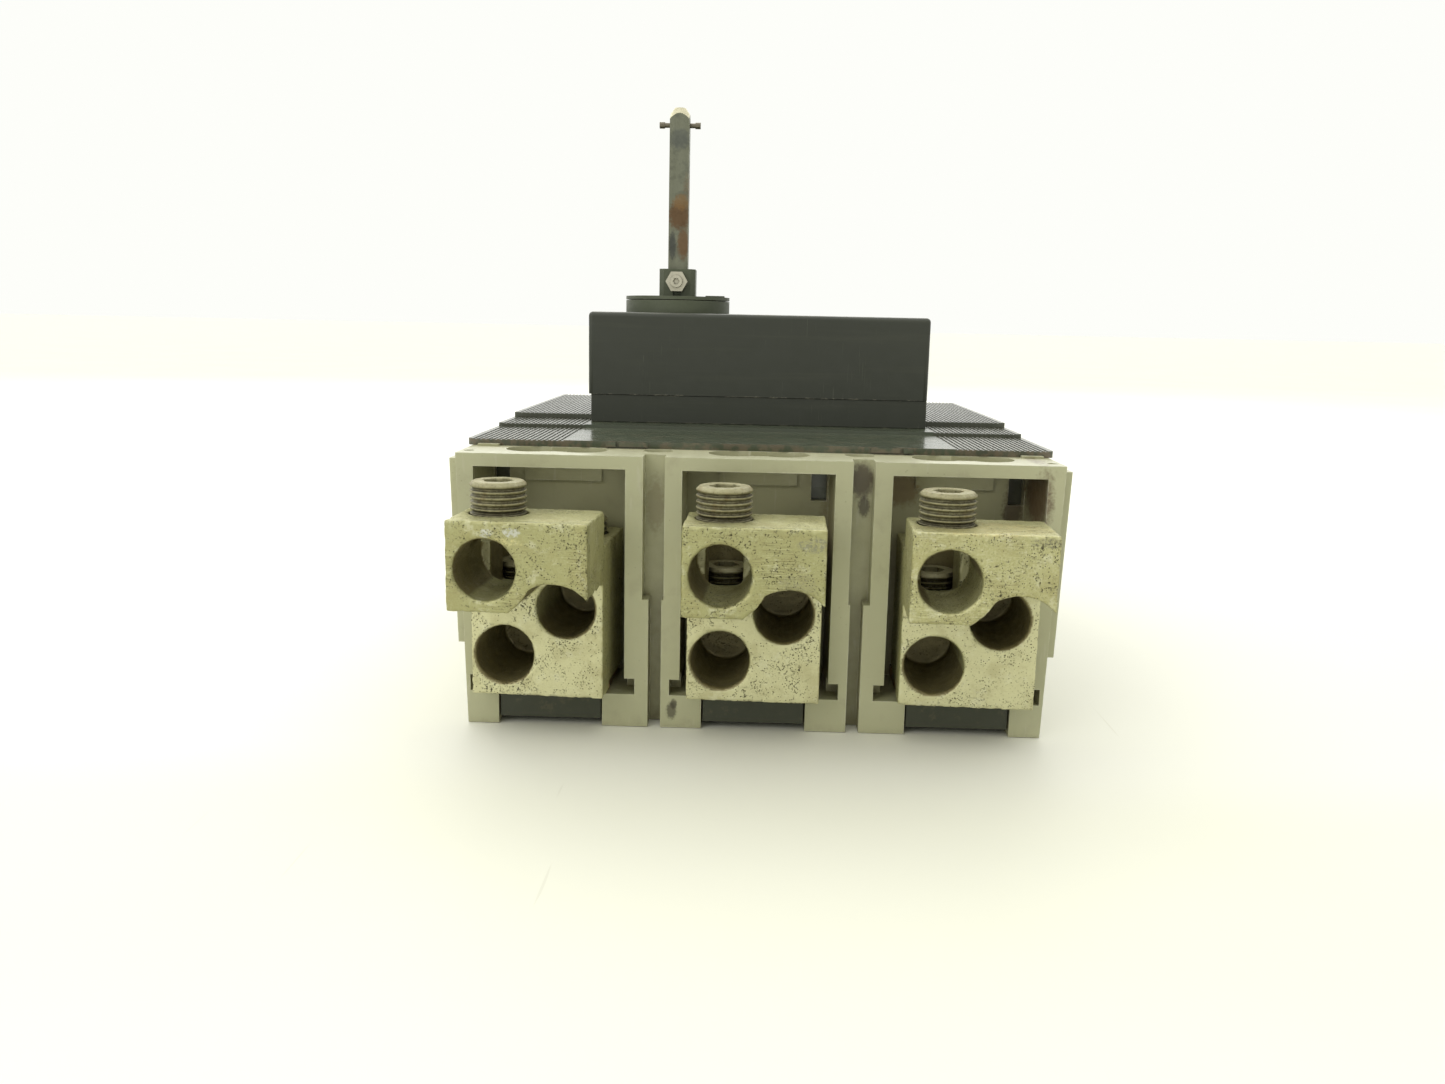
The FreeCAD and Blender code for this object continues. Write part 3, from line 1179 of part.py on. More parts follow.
def shaft_coupling():
    body = new_body("shaft_coupling")
    half = "coupling_width / 2"
    bevel = 1.9
    plan = sketch_on(body, "coupling_plan", "XY_Plane", "cap_top")
    corners = []
    for sx, sy in ((-1, -1), (1, -1), (1, 1), (-1, 1)):
        along_x = (f"hub_x + {sx} * ({half} - {bevel})", f"hub_y + {sy} * {half}")
        along_y = (f"hub_x + {sx} * {half}", f"hub_y + {sy} * ({half} - {bevel})")
        corners += [along_y, along_x] if sx == sy else [along_x, along_y]
    outline(plan, corners)
    pad(body, plan, "coupling_top - cap_top")
    socket = sketch_on(body, "coupling_socket", "XY_Plane", "coupling_top + 1")
    edge = "shaft_width / 2 + 0.05"
    rectangle(socket, f"hub_x - ({edge})", f"hub_x + {edge}", f"hub_y - ({edge})", f"hub_y + {edge}")
    pocket(body, socket, "coupling_top - cap_top + 2")
    front = sketch_on(body, "coupling_screw_hole", "XZ_Plane", f"-hub_y + {half} + 1")
    circle(front, "hub_x", "157.1", "2.53")
    pocket(body, front, f"{half} + 1")
    slot = sketch_on(body, "coupling_slot", "XZ_Plane", f"-hub_y + {half} + 1")
    rectangle(slot, "hub_x - 1.8", "hub_x + 1.8", "cap_top - 1", "cap_top + 2.4")
    pocket(body, slot, "2.5")
    return keep("shaft_coupling", body)


def coupling_fasteners():
    front = "hub_y - coupling_width / 2"
    screw = rod("set_screw_blank", "y", "2.48", (f"{front} - 5.9", "hub_y - shaft_width / 2"),
                ("hub_x", "157.1"))
    socket = hexagon("set_screw_socket", "y", "2.5", (f"{front} - 7", f"{front} - 3.4"), ("hub_x", "157.1"))
    keep("coupling_set_screw", cut("set_screw_body", screw, [socket]))
    nut = hexagon("lock_nut_blank", "y", "8", (f"{front} - 4", front), ("hub_x", "157.1"))
    bore = rod("lock_nut_bore", "y", "2.53", (f"{front} - 5", f"{front} + 1"), ("hub_x", "157.1"))
    return keep("coupling_lock_nut", cut("lock_nut_body", nut, [bore]))


def handle_shaft():
    """The square extension shaft with a turned conical tip and a cross-drilled pin hole."""
    edge = "shaft_width / 2"
    square = block("shaft_square", (f"hub_x - {edge}", f"hub_x + {edge}"),
                   (f"hub_y - {edge}", f"hub_y + {edge}"),
                   ("140", "shaft_top"))
    cone = doc.addObject("Part::Cone", "shaft_tip_cone")
    tip_height = 8.0
    cone.setExpression("Radius1", expr("2.35 + 8 * 0.72"))
    cone.setExpression("Radius2", expr("2.35"))
    cone.setExpression("Height", str(tip_height))
    cone.setExpression("Placement.Base.x", expr("hub_x"))
    cone.setExpression("Placement.Base.y", expr("hub_y"))
    cone.setExpression("Placement.Base.z", expr(f"shaft_top - {tip_height}"))
    lower = rod("shaft_tip_keep", "z", "shaft_width", ("139", f"shaft_top - {tip_height}"),
                ("hub_x", "hub_y"))
    turned = doc.addObject("Part::Common", "shaft_turned")
    turned.Base = square
    turned.Tool = join("shaft_envelope", [cone, lower])
    hole = rod("shaft_pin_hole", "x", "1", ("hub_x - 9", "hub_x + 9"), ("hub_y", "pin_height"))
    return keep("handle_shaft", cut("handle_shaft_body", turned, [hole]))


def shaft_cross_pin():
    body = rod("cross_pin_rod", "x", "1", ("hub_x - 8.5", "hub_x + 8.5"), ("hub_y", "pin_height"))
    ends = []
    for side in (-1, 1):
        span = sorted((side * 6.4, side * 8.6))
        ends.append(rod(f"cross_pin_end_{(side + 1) // 2}", "x", "1.35",
                        (f"hub_x + {span[0]}", f"hub_x + {span[1]}"),
                        ("hub_y", "pin_height")))
    return keep("shaft_cross_pin", join("cross_pin_body", [body] + ends))


# ---------------------------------------------------------------- cable lugs

def screw_profile(radius, low, high, pitch):
    """Half outline of a clamp screw: bevelled ends and sharp thread ridges between them."""
    depth = 1.05
    bevel = 1.1
    points = [(0, low), (radius - bevel, low), (radius - 0.3, low + bevel)]
    turns = int((high - low - 2 * bevel) / pitch)
    start = high - bevel - turns * pitch
    for turn in range(turns):
        level = start + turn * pitch
        points += [(radius - depth, level + pitch * 0.18), (radius - depth, level + pitch * 0.42),
                   (radius, level + pitch * 0.78), (radius, level + pitch)]
    points += [(radius - bevel, high), (0, high)]
    return points


def clamp_screw(name, x, y, low, high, socket):
    """A stout threaded clamp screw with a hexagon socket, turned about its own axis."""
    profile = screw_profile(size("clamp_radius"), low, high, size("clamp_pitch"))
    outline_points = [Vector(r, 0, z) for r, z in profile]
    face = Part.Face(Part.makePolygon(outline_points + outline_points[:1]))
    solid = face.revolve(Vector(0, 0, 0), Vector(0, 0, 1), 360)
    socket_floor = high - size("socket_depth")
    corners = [Vector(socket * math.cos(math.radians(60 * k)), socket * math.sin(math.radians(60 * k)),
                      socket_floor)
               for k in range(7)]
    recess = Part.Face(Part.makePolygon(corners)).extrude(Vector(0, 0, size("socket_depth") + 2))
    piece = doc.addObject("Part::Feature", name)
    piece.Shape = solid.cut(recess)
    piece.Placement = Placement(Vector(x, y, 0), Rotation())
    return piece


def lug_placement(phase):
    """Each lug sits slightly turned about Z in its recess, as it was left."""
    shift, turn = LUG_SHIFT[phase]
    pivot = Vector(phase * size("phase_pitch") + shift, -116, 0)
    rotation = Rotation(Vector(0, 0, 1), turn)
    return Placement(pivot, rotation).multiply(Placement(Vector(0, 116, 0), Rotation()))


def lug_block(phase):
    """The stepped aluminium lug: nose block above and ahead of the main block, three bores."""
    label = "lug_" + PHASE_NAMES[phase]
    body = new_body(label)
    side = sketch_on(body, label + "_side", "YZ_Plane", "0")
    front, step, end = "-lug_front", "lug_step - lug_front", "-lug_end"
    outline(side, [(front, "lug_nose_bottom"), (step, "lug_nose_bottom"), (step, "lug_bottom"),
                   ("-131.6", "lug_bottom"), ("-131.6", "recess_bottom + bar_thick + 0.1"),
                   (end, "recess_bottom + bar_thick + 0.1"), (end, "lug_rear_top"),
                   ("lug_nose - lug_front", "lug_rear_top"), ("lug_nose - lug_front", "lug_top"),
                   (front, "lug_top")])
    pad(body, side, "2 * lug_half", middle=True)
    relief = sketch_on(body, label + "_relief", "XZ_Plane", "lug_front + 1")
    crescent(relief, ("relief_x", "relief_z", "relief_radius"),
             ("upper_bore_x", "upper_bore_z", "bore_boss"))
    pocket(body, relief, "lug_step + 1")
    depth = {"upper": "lug_nose + 1", "right": "lug_front - 107.5", "lower": "lug_front - 107.5"}
    for which, length in depth.items():
        bore = sketch_on(body, f"{label}_{which}_bore", "XZ_Plane", "lug_front")
        circle(bore, f"{which}_bore_x", f"{which}_bore_z", "cable_bore")
        pocket(body, bore, length)
    for which, y, top in (("upper", "front_clamp_y", "lug_top"), ("right", "rear_clamp_y", "lug_rear_top"),
                          ("lower", "rear_clamp_y", "lug_rear_top")):
        drill = sketch_on(body, f"{label}_{which}_clamp", "XY_Plane", f"{top} + 1")
        circle(drill, f"{which}_bore_x", f"-{y}", "clamp_radius + 0.04")
        pocket(body, drill, f"{top} + 1 - {which}_bore_z")
    slot = sketch_on(body, label + "_screw_slot", "XY_Plane", "lug_top + 1")
    rectangle(slot, "upper_bore_x - screw_slot / 2", "upper_bore_x + screw_slot / 2",
              "lug_nose - lug_front + 1", "-rear_clamp_y")
    pocket(body, slot, "lug_top + 1 - screw_slot_bottom")
    thread = sketch_on(body, label + "_fixing", "XY_Plane", "lug_bottom")
    circle(thread, "lug_bolt_x", "-116", "4.02")
    pocket(body, thread, "17.5", flip=True)
    for which, face in (("upper", "lug_front"), ("right", "lug_front - lug_step"),
                        ("lower", "lug_front - lug_step")):
        mouth = sketch_on(body, f"{label}_{which}_rim", "XZ_Plane", face)
        circle(mouth, f"{which}_bore_x", f"{which}_bore_z", "cable_bore + bore_rim")
        pocket(body, mouth, "bore_rim").TaperAngle = COUNTERSINK_TAPER
    body.Placement = lug_placement(phase)
    return keep(label, body)


def lug_fasteners():
    rear = []
    bolts = []
    for phase in PHASES:
        place = lug_placement(phase)
        y = -size("front_clamp_y")
        x = size("upper_bore_x")
        front = clamp_screw("front_clamp_" + PHASE_NAMES[phase], x, y,
                            size("upper_bore_z") + size("cable_bore") + 0.3,
                            size("lug_top") + size("clamp_stand"), size("clamp_socket"))
        front.Placement = place.multiply(front.Placement)
        keep("clamp_screw_" + PHASE_NAMES[phase], front)
        for which in ("right", "lower"):
            low = size(which + "_bore_z") + size("cable_bore") + 0.3
            high = low + size("rear_clamp_long")
            spot = Vector(size(which + "_bore_x"), -size("rear_clamp_y"), 0)
            screw = clamp_screw(f"rear_clamp_{which}_{phase + 1}", spot.x, spot.y, low, high,
                                size("clamp_socket"))
            screw.Placement = place.multiply(screw.Placement)
            rear.append(screw)
        centre = place.multVec(Vector(size("lug_bolt_x"), -116, 0))
        spot = (str(centre.x), str(centre.y))
        head = hexagon(f"lug_bolt_head_{phase + 1}", "z", "13", ("5.4", "10.4"), spot)
        washer = rod(f"lug_bolt_washer_{phase + 1}", "z", "8.4", ("10.3", "recess_bottom"), spot)
        shank = rod(f"lug_bolt_shank_{phase + 1}", "z", "4", ("10", "lug_bottom + 16"), spot)
        bolts.append(join(f"lug_bolt_{phase + 1}", [head, washer, shank]))
    keep("rear_clamp_screws", separate("rear_clamp_screws", rear))
    return keep("lug_bolts", separate("lug_bolts", bolts))


# ---------------------------------------------------------------- build and write

def build_all():
    base_housing()
    front_cover()
    insulators(NEAR, "line_end_insulators")
    insulators(FAR, "load_end_insulators")
    cover_screws()
    line_terminals()
    load_terminals()
    load_terminal_screws()
    arc_chutes()
    fixed_contacts()
    crossbar()
    link_pins()
    contact_arms()
    flexible_braids()
    mechanism_side_plates()
    cradle()
    mechanism_pins()
    toggle_yoke()
    toggle_handle()
    links()
    trip_bar()
    trip_bar_brackets()
    trip_unit_case()
    tripping_devices()
    trip_push_rod()
    operator_base()
    operator_screws()
    operator_cover()
    operator_cover_screws()
    carriage_guides()
    drive_carriage()
    rotor()
    operator_collar()
    crank()
    shaft_coupling()
    coupling_fasteners()
    handle_shaft()
    shaft_cross_pin()
    for phase in PHASES:
        lug_block(phase)
    lug_fasteners()


def check_document():
    """Stops with a message if any object failed or any sub-part is empty or invalid."""
    faults = [obj.Name for obj in doc.Objects if "Invalid" in obj.State or "Error" in obj.State]
    for name, piece in PARTS.items():
        if piece.Shape.isNull() or not piece.Shape.isValid():
            faults.append(name + " shape")
        elif not piece.Shape.Solids:
            faults.append(name + " has no solid")
    if faults:
        raise RuntimeError("failed: " + ", ".join(faults))


build_all()
doc.recompute()
check_document()
for node, sub_part in PARTS.items():
    sub_part.Shape.exportStep(f"parts/{node}.step")
    box = sub_part.Shape.BoundBox
    print(f"{node}: {len(sub_part.Shape.Solids)} solid(s), "
          f"x {box.XMin:.1f}..{box.XMax:.1f} y {box.YMin:.1f}..{box.YMax:.1f} "
          f"z {box.ZMin:.1f}..{box.ZMax:.1f}")
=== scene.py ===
"""Looks for the moulded-case breaker: materials, fine surface detail, floor, light and camera."""
import json
import math

import bpy
import numpy as np
from mathutils import Matrix, Vector, noise


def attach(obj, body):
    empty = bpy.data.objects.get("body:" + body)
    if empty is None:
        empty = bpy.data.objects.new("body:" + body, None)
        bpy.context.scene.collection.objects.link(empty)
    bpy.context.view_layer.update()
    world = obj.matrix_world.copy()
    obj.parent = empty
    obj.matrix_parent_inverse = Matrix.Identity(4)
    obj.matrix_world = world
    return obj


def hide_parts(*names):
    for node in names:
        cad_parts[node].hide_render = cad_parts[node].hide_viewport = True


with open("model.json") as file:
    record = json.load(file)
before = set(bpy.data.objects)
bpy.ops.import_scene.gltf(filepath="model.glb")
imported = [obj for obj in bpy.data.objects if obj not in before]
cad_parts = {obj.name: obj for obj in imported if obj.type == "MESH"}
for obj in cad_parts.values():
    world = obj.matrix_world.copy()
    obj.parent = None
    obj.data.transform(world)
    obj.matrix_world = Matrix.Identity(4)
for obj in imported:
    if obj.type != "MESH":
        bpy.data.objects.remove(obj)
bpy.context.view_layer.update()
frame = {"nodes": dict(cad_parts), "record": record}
nodes = frame["nodes"]
MM = 0.001
BENCH_HALF = 40.0
BENCH_GAP = 0.2 * MM
MOULDED_ROUND = 0.3 * MM
LUG_WEAR = {"voxel": 0.5, "dent": 0.08, "chip": 0.42}
SCREW_WEAR = {"voxel": 0.3, "dent": 0.10, "chip": 0.22}


# ---------------------------------------------------------------- material helper

def srgb(r, g, b):
    """Linear colour of an 8-bit display colour."""
    def one(v):
        v = v / 255
        return v / 12.92 if v <= 0.04045 else ((v + 0.055) / 1.055) ** 2.4
    return (one(r), one(g), one(b), 1.0)


class Shade:
    """Builds one node material; lengths are millimetres in the object's own frame."""

    def __init__(self, name):
        self.mat = bpy.data.materials.new(name)
        self.mat.use_nodes = True
        self.tree = self.mat.node_tree
        self.tree.nodes.clear()
        self.out = self.add("ShaderNodeOutputMaterial")
        self.bsdf = self.add("ShaderNodeBsdfPrincipled")
        self.tree.links.new(self.bsdf.outputs[0], self.out.inputs["Surface"])
        coords = self.add("ShaderNodeTexCoord")
        scale = self.add("ShaderNodeVectorMath")
        scale.operation = "SCALE"
        scale.inputs["Scale"].default_value = 1000.0
        self.tree.links.new(coords.outputs["Object"], scale.inputs[0])
        self.pos = scale.outputs[0]
        self.height = None

    def add(self, kind):
        return self.tree.nodes.new(kind)

    def put(self, socket, value):
        if isinstance(value, bpy.types.NodeSocket):
            self.tree.links.new(value, socket)
        else:
            socket.default_value = value

    def math(self, op, a, b=0.0, clamp=False):
        node = self.add("ShaderNodeMath")
        node.operation = op
        node.use_clamp = clamp
        self.put(node.inputs[0], a)
        self.put(node.inputs[1], b)
        return node.outputs[0]

    def stretch(self, x, y, z, shift=(0, 0, 0)):
        """Position scaled per axis, for streaks and brushed lines."""
        node = self.add("ShaderNodeMapping")
        node.inputs["Scale"].default_value = (x, y, z)
        node.inputs["Location"].default_value = shift
        self.put(node.inputs["Vector"], self.pos)
        return node.outputs[0]

    def noise(self, size, detail=4.0, rough=0.55, at=None, distort=0.0):
        """Noise whose blobs are about size millimetres across."""
        node = self.add("ShaderNodeTexNoise")
        self.put(node.inputs["Vector"], at or self.pos)
        node.inputs["Scale"].default_value = 1.0 / size
        node.inputs["Detail"].default_value = detail
        node.inputs["Roughness"].default_value = rough
        node.inputs["Distortion"].default_value = distort
        return node.outputs[0]

    def cells(self, size, feature="F1", at=None, jitter=1.0):
        node = self.add("ShaderNodeTexVoronoi")
        node.feature = feature
        self.put(node.inputs["Vector"], at or self.pos)
        node.inputs["Scale"].default_value = 1.0 / size
        node.inputs["Randomness"].default_value = jitter
        return node.outputs["Distance"]

    def ramp(self, value, low, high, start=0.0, stop=1.0):
        """Smooth step of value from low..high to start..stop."""
        node = self.add("ShaderNodeMapRange")
        node.interpolation_type = "SMOOTHSTEP"
        self.put(node.inputs["Value"], value)
        for key, number in (("From Min", low), ("From Max", high), ("To Min", start), ("To Max", stop)):
            node.inputs[key].default_value = number
        return node.outputs[0]

    def mix(self, amount, a, b, mode="MIX"):
        node = self.add("ShaderNodeMix")
        node.data_type = "RGBA"
        node.blend_type = mode
        self.put(node.inputs[0], amount)
        self.put(node.inputs[6], a)
        self.put(node.inputs[7], b)
        return node.outputs[2]

    def axis(self, letter):
        node = self.add("ShaderNodeSeparateXYZ")
        self.put(node.inputs[0], self.pos)
        return node.outputs["XYZ".index(letter.upper())]

    def facing(self, letter):
        """Component of the true normal along an axis."""
        geo = self.add("ShaderNodeNewGeometry")
        split = self.add("ShaderNodeSeparateXYZ")
        self.put(split.inputs[0], geo.outputs["True Normal"])
        return split.outputs["XYZ".index(letter.upper())]

    def spot(self, centre, radii, rim=0.35, detail=0.45):
        """1 inside an ellipsoid, fading to 0 at its rim; rim is roughened by noise."""
        node = self.add("ShaderNodeVectorMath")
        node.operation = "SUBTRACT"
        self.put(node.inputs[0], self.pos)
        node.inputs[1].default_value = centre
        scaled = self.add("ShaderNodeVectorMath")
        scaled.operation = "DIVIDE"
        self.put(scaled.inputs[0], node.outputs[0])
        scaled.inputs[1].default_value = radii
        length = self.add("ShaderNodeVectorMath")
        length.operation = "LENGTH"
        self.put(length.inputs[0], scaled.outputs[0])
        grain = self.noise(min(radii) * detail, 5, 0.65)
        ragged = self.math("ADD", length.outputs["Value"], self.math("MULTIPLY", grain, 1.2))
        return self.ramp(ragged, 1.6 - rim, 1.6 + rim, 1.0, 0.0)

    def stored(self, name):
        """A float that was stored on the mesh's points."""
        node = self.add("ShaderNodeAttribute")
        node.attribute_name = name
        return node.outputs["Fac"]

    def crevice_shade(self, reach, low=0.25, high=0.75):
        """Painted shade from ambient occlusion: 1 in corners and crevices within reach millimetres, 0 in the
        open.
        """
        node = self.add("ShaderNodeAmbientOcclusion")
        node.samples = 6
        node.inputs["Distance"].default_value = reach * MM
        noise = self.noise(reach * 0.6, 4)
        ragged = self.math("MULTIPLY", self.math("SUBTRACT", noise, 0.5), 0.5)
        value = self.math("ADD", node.outputs["AO"], ragged)
        return self.ramp(value, low, high, 1.0, 0.0)

    def edges(self, radius, low=0.05, high=0.35):
        """1 on outer edges, for wear and for painted edge highlights: where a rounded normal differs from
        the true one.
        """
        bevel = self.add("ShaderNodeBevel")
        bevel.samples = 4
        bevel.inputs["Radius"].default_value = radius * MM
        geo = self.add("ShaderNodeNewGeometry")
        dot = self.add("ShaderNodeVectorMath")
        dot.operation = "DOT_PRODUCT"
        self.put(dot.inputs[0], bevel.outputs[0])
        self.put(dot.inputs[1], geo.outputs["Normal"])
        return self.ramp(self.math("SUBTRACT", 1.0, dot.outputs["Value"]), low, high)

    def bump(self, height, depth, strength=1.0):
        """Adds a bump layer; depth is the relief in millimetres."""
        node = self.add("ShaderNodeBump")
        node.inputs["Strength"].default_value = strength
        node.inputs["Distance"].default_value = depth * MM
        self.put(node.inputs["Height"], height)
        if self.height is not None:
            self.put(node.inputs["Normal"], self.height)
        self.height = node.outputs[0]

    def finish(self, color, rough, metal=0.0, specular=0.5):
        self.put(self.bsdf.inputs["Base Color"], color)
        self.put(self.bsdf.inputs["Roughness"], rough)
        self.put(self.bsdf.inputs["Metallic"], metal)
        self.bsdf.inputs["Specular IOR Level"].default_value = specular
        if self.height is not None:
            self.put(self.bsdf.inputs["Normal"], self.height)
        return self.mat


# ---------------------------------------------------------------- materials

def case_plastic():
    """Light grey moulded thermoset: fine grain, painted shade in its crevices, pale edges that are partly
    wear and partly a painted highlight, scuffs and a few stains.
    """
    s = Shade("case_plastic")
    color = s.mix(s.noise(38, 3), srgb(188, 188, 158), srgb(177, 177, 146))
    color = s.mix(s.ramp(s.noise(9, 5, 0.6), 0.52, 0.75, 0, 0.35), color, srgb(158, 152, 128))
    speck = s.math("MULTIPLY", s.ramp(s.cells(2.1), 0.0, 0.16, 1, 0), s.ramp(s.noise(14, 3), 0.5, 0.66))
    color = s.mix(s.math("MULTIPLY", speck, 0.55), color, srgb(112, 100, 78))
    # Darker brown in corners and crevices below the deck: painted shade from ambient occlusion.
    crevice_shade_amount = s.math("MULTIPLY", s.crevice_shade(7, 0.2, 0.62), s.ramp(s.axis("Z"), 91.0, 89.5, 0.0, 0.55))
    color = s.mix(crevice_shade_amount, color, srgb(104, 92, 62))
    inside = s.math("MULTIPLY", s.ramp(s.axis("Y"), -133.0, -118.0), s.ramp(s.axis("Y"), 96.0, 90.0))
    color = s.mix(s.math("MULTIPLY", inside, 0.25), color, srgb(140, 132, 96))
    stains = (((96.0, -120, 84), (4, 18, 12), srgb(84, 52, 30), 0.85),
              ((93.0, -102, 74), (3.5, 4, 12), srgb(70, 50, 34), 0.8),
              ((35.3, -126, 88), (4.2, 4, 6), srgb(66, 52, 36), 0.85),
              ((36.5, -126, 79), (2.0, 4, 3.5), srgb(60, 50, 36), 0.8),
              ((-28.6, -134, 6.2), (1.7, 3, 3.0), srgb(64, 58, 44), 0.75),
              ((-27.8, -134, 8.6), (1.1, 3, 1.7), srgb(64, 58, 44), 0.8),
              ((52.5, -102, 82), (6, 4, 6), srgb(120, 92, 52), 0.65),
              ((47.5, -118, 60), (3, 16, 22), srgb(112, 92, 58), 0.5),
              ((-35.4, -126, 78), (3.0, 4, 9), srgb(120, 106, 76), 0.45),
              ((24.6, -118, 70), (2.5, 18, 20), srgb(120, 102, 66), 0.5))
    for centre, radii, tint, strength in stains:
        color = s.mix(s.math("MULTIPLY", s.spot(centre, radii), strength), color, tint)
    # Paler outer edges: partly edge wear, partly a painted highlight along the rims.
    edge_wear_and_highlight = s.math("MULTIPLY", s.edges(0.8), s.ramp(s.noise(5, 4), 0.42, 0.6))
    color = s.mix(s.math("MULTIPLY", edge_wear_and_highlight, 0.7), color, srgb(222, 221, 208))
    scuff = s.ramp(s.noise(2.2, 3, 0.5, s.stretch(1, 1, 0.12)), 0.63, 0.72, 0, 0.3)
    color = s.mix(scuff, color, srgb(198, 196, 182))
    s.bump(s.noise(0.55, 2), 0.02)
    s.bump(s.noise(16, 3), 0.12)
    s.bump(s.ramp(s.noise(1.6, 4, 0.7), 0.6, 0.75), 0.04)
    return s.finish(color, s.ramp(s.noise(3, 4), 0.3, 0.7, 0.3, 0.44), specular=0.5)


def cover_plastic():
    """Dark grey-green moulded cover: dusty rib tips, smears on the smooth strip."""
    s = Shade("cover_plastic")
    color = s.mix(s.noise(26, 4), srgb(80, 88, 71), srgb(70, 77, 62))
    rib_zone = s.ramp(s.math("ABSOLUTE", s.axis("X")), 69.4, 70.2)
    color = s.mix(s.math("MULTIPLY", rib_zone, 0.6), color, srgb(72, 72, 60))
    dust = s.math("MULTIPLY", s.ramp(s.noise(7, 5, 0.7), 0.45, 0.68), s.ramp(s.facing("Z"), 0.2, 0.9))
    color = s.mix(s.math("MULTIPLY", dust, 0.3), color, srgb(120, 112, 92))
    smear = s.ramp(s.noise(5, 4, 0.6, s.stretch(0.35, 1, 1), 0.6), 0.56, 0.7, 0, 0.5)
    color = s.mix(smear, color, srgb(90, 100, 84))
    # Dark brown in corners and crevices: painted shade from ambient occlusion.
    color = s.mix(s.math("MULTIPLY", s.crevice_shade(2.5, 0.2, 0.7), 0.4), color, srgb(58, 48, 36))
    front = s.ramp(s.axis("Y"), -106.5, -108.0)
    edge_wear_and_highlight = s.math("MULTIPLY", front, s.ramp(s.noise(4, 4), 0.4, 0.62))
    color = s.mix(s.math("MULTIPLY", edge_wear_and_highlight, 0.45), color, srgb(128, 108, 90))
    s.bump(s.noise(0.5, 2), 0.006)
    s.bump(s.noise(22, 3), 0.1)
    s.bump(s.ramp(s.cells(3.1), 0.0, 0.12, 0, 1), 0.02)
    rough = s.ramp(s.noise(4, 4), 0.3, 0.7, 0.15, 0.26)
    return s.finish(color, rough, specular=0.7)


def operator_plastic():
    """Near-black grey-green box: silky moulded face, hairline scratches, pale nicks on edges."""
    s = Shade("operator_plastic")
    color = s.mix(s.noise(45, 3), srgb(55, 58, 50), srgb(50, 53, 46))
    streak = s.ramp(s.noise(3, 4, 0.6, s.stretch(0.05, 0.05, 1)), 0.5, 0.75, 0, 0.35)
    color = s.mix(streak, color, srgb(66, 68, 58))
    hair = s.math("MULTIPLY", s.ramp(s.noise(0.35, 2, 0.5, s.stretch(1, 1, 0.02)), 0.66, 0.7),
                  s.ramp(s.noise(16, 3), 0.5, 0.6))
    color = s.mix(s.math("MULTIPLY", hair, 0.35), color, srgb(96, 98, 86))
    dust = s.math("MULTIPLY", s.ramp(s.facing("Z"), 0.5, 0.95), s.ramp(s.noise(12, 5, 0.65), 0.35, 0.7))
    color = s.mix(s.math("MULTIPLY", dust, 0.28), color, srgb(128, 128, 112))
    edge_wear_and_highlight = s.math("MULTIPLY", s.edges(0.9), s.ramp(s.noise(3.5, 5, 0.65), 0.48, 0.62))
    color = s.mix(s.math("MULTIPLY", edge_wear_and_highlight, 0.75), color, srgb(172, 168, 150))
    s.bump(s.noise(0.45, 2), 0.012)
    s.bump(s.noise(30, 3), 0.15)
    return s.finish(color, s.ramp(s.noise(6, 4), 0.3, 0.7, 0.34, 0.5), specular=0.4)


def hub_plastic():
    """Mid grey-green die-cast hub parts with fine matt texture."""
    s = Shade("hub_grey")
    color = s.mix(s.noise(9, 4), srgb(72, 77, 62), srgb(84, 90, 72))
    # Darkening in corners and crevices: painted shade from ambient occlusion.
    color = s.mix(s.math("MULTIPLY", s.crevice_shade(1.2, 0.2, 0.7), 0.6), color, srgb(40, 40, 32))
    edge_wear_and_highlight = s.math("MULTIPLY", s.edges(0.35), s.ramp(s.noise(2, 4), 0.42, 0.6))
    color = s.mix(s.math("MULTIPLY", edge_wear_and_highlight, 0.6), color, srgb(170, 172, 156))
    s.bump(s.noise(0.4, 3), 0.02)
    s.bump(s.noise(3, 3), 0.03)
    return s.finish(color, s.ramp(s.noise(2, 4), 0.3, 0.7, 0.38, 0.55), metal=0.15, specular=0.45)


def dark_tray():
    """Slate-grey insulating tray with a slight sheen."""
    s = Shade("tray_dark")
    color = s.mix(s.noise(14, 4), srgb(60, 63, 52), srgb(70, 73, 60))
    color = s.mix(s.math("MULTIPLY", s.ramp(s.noise(4, 5, 0.7), 0.55, 0.7), 0.3), color, srgb(110, 104, 80))
    s.bump(s.noise(0.5, 2), 0.015)
    return s.finish(color, s.ramp(s.noise(5, 3), 0.3, 0.7, 0.4, 0.55), specular=0.4)


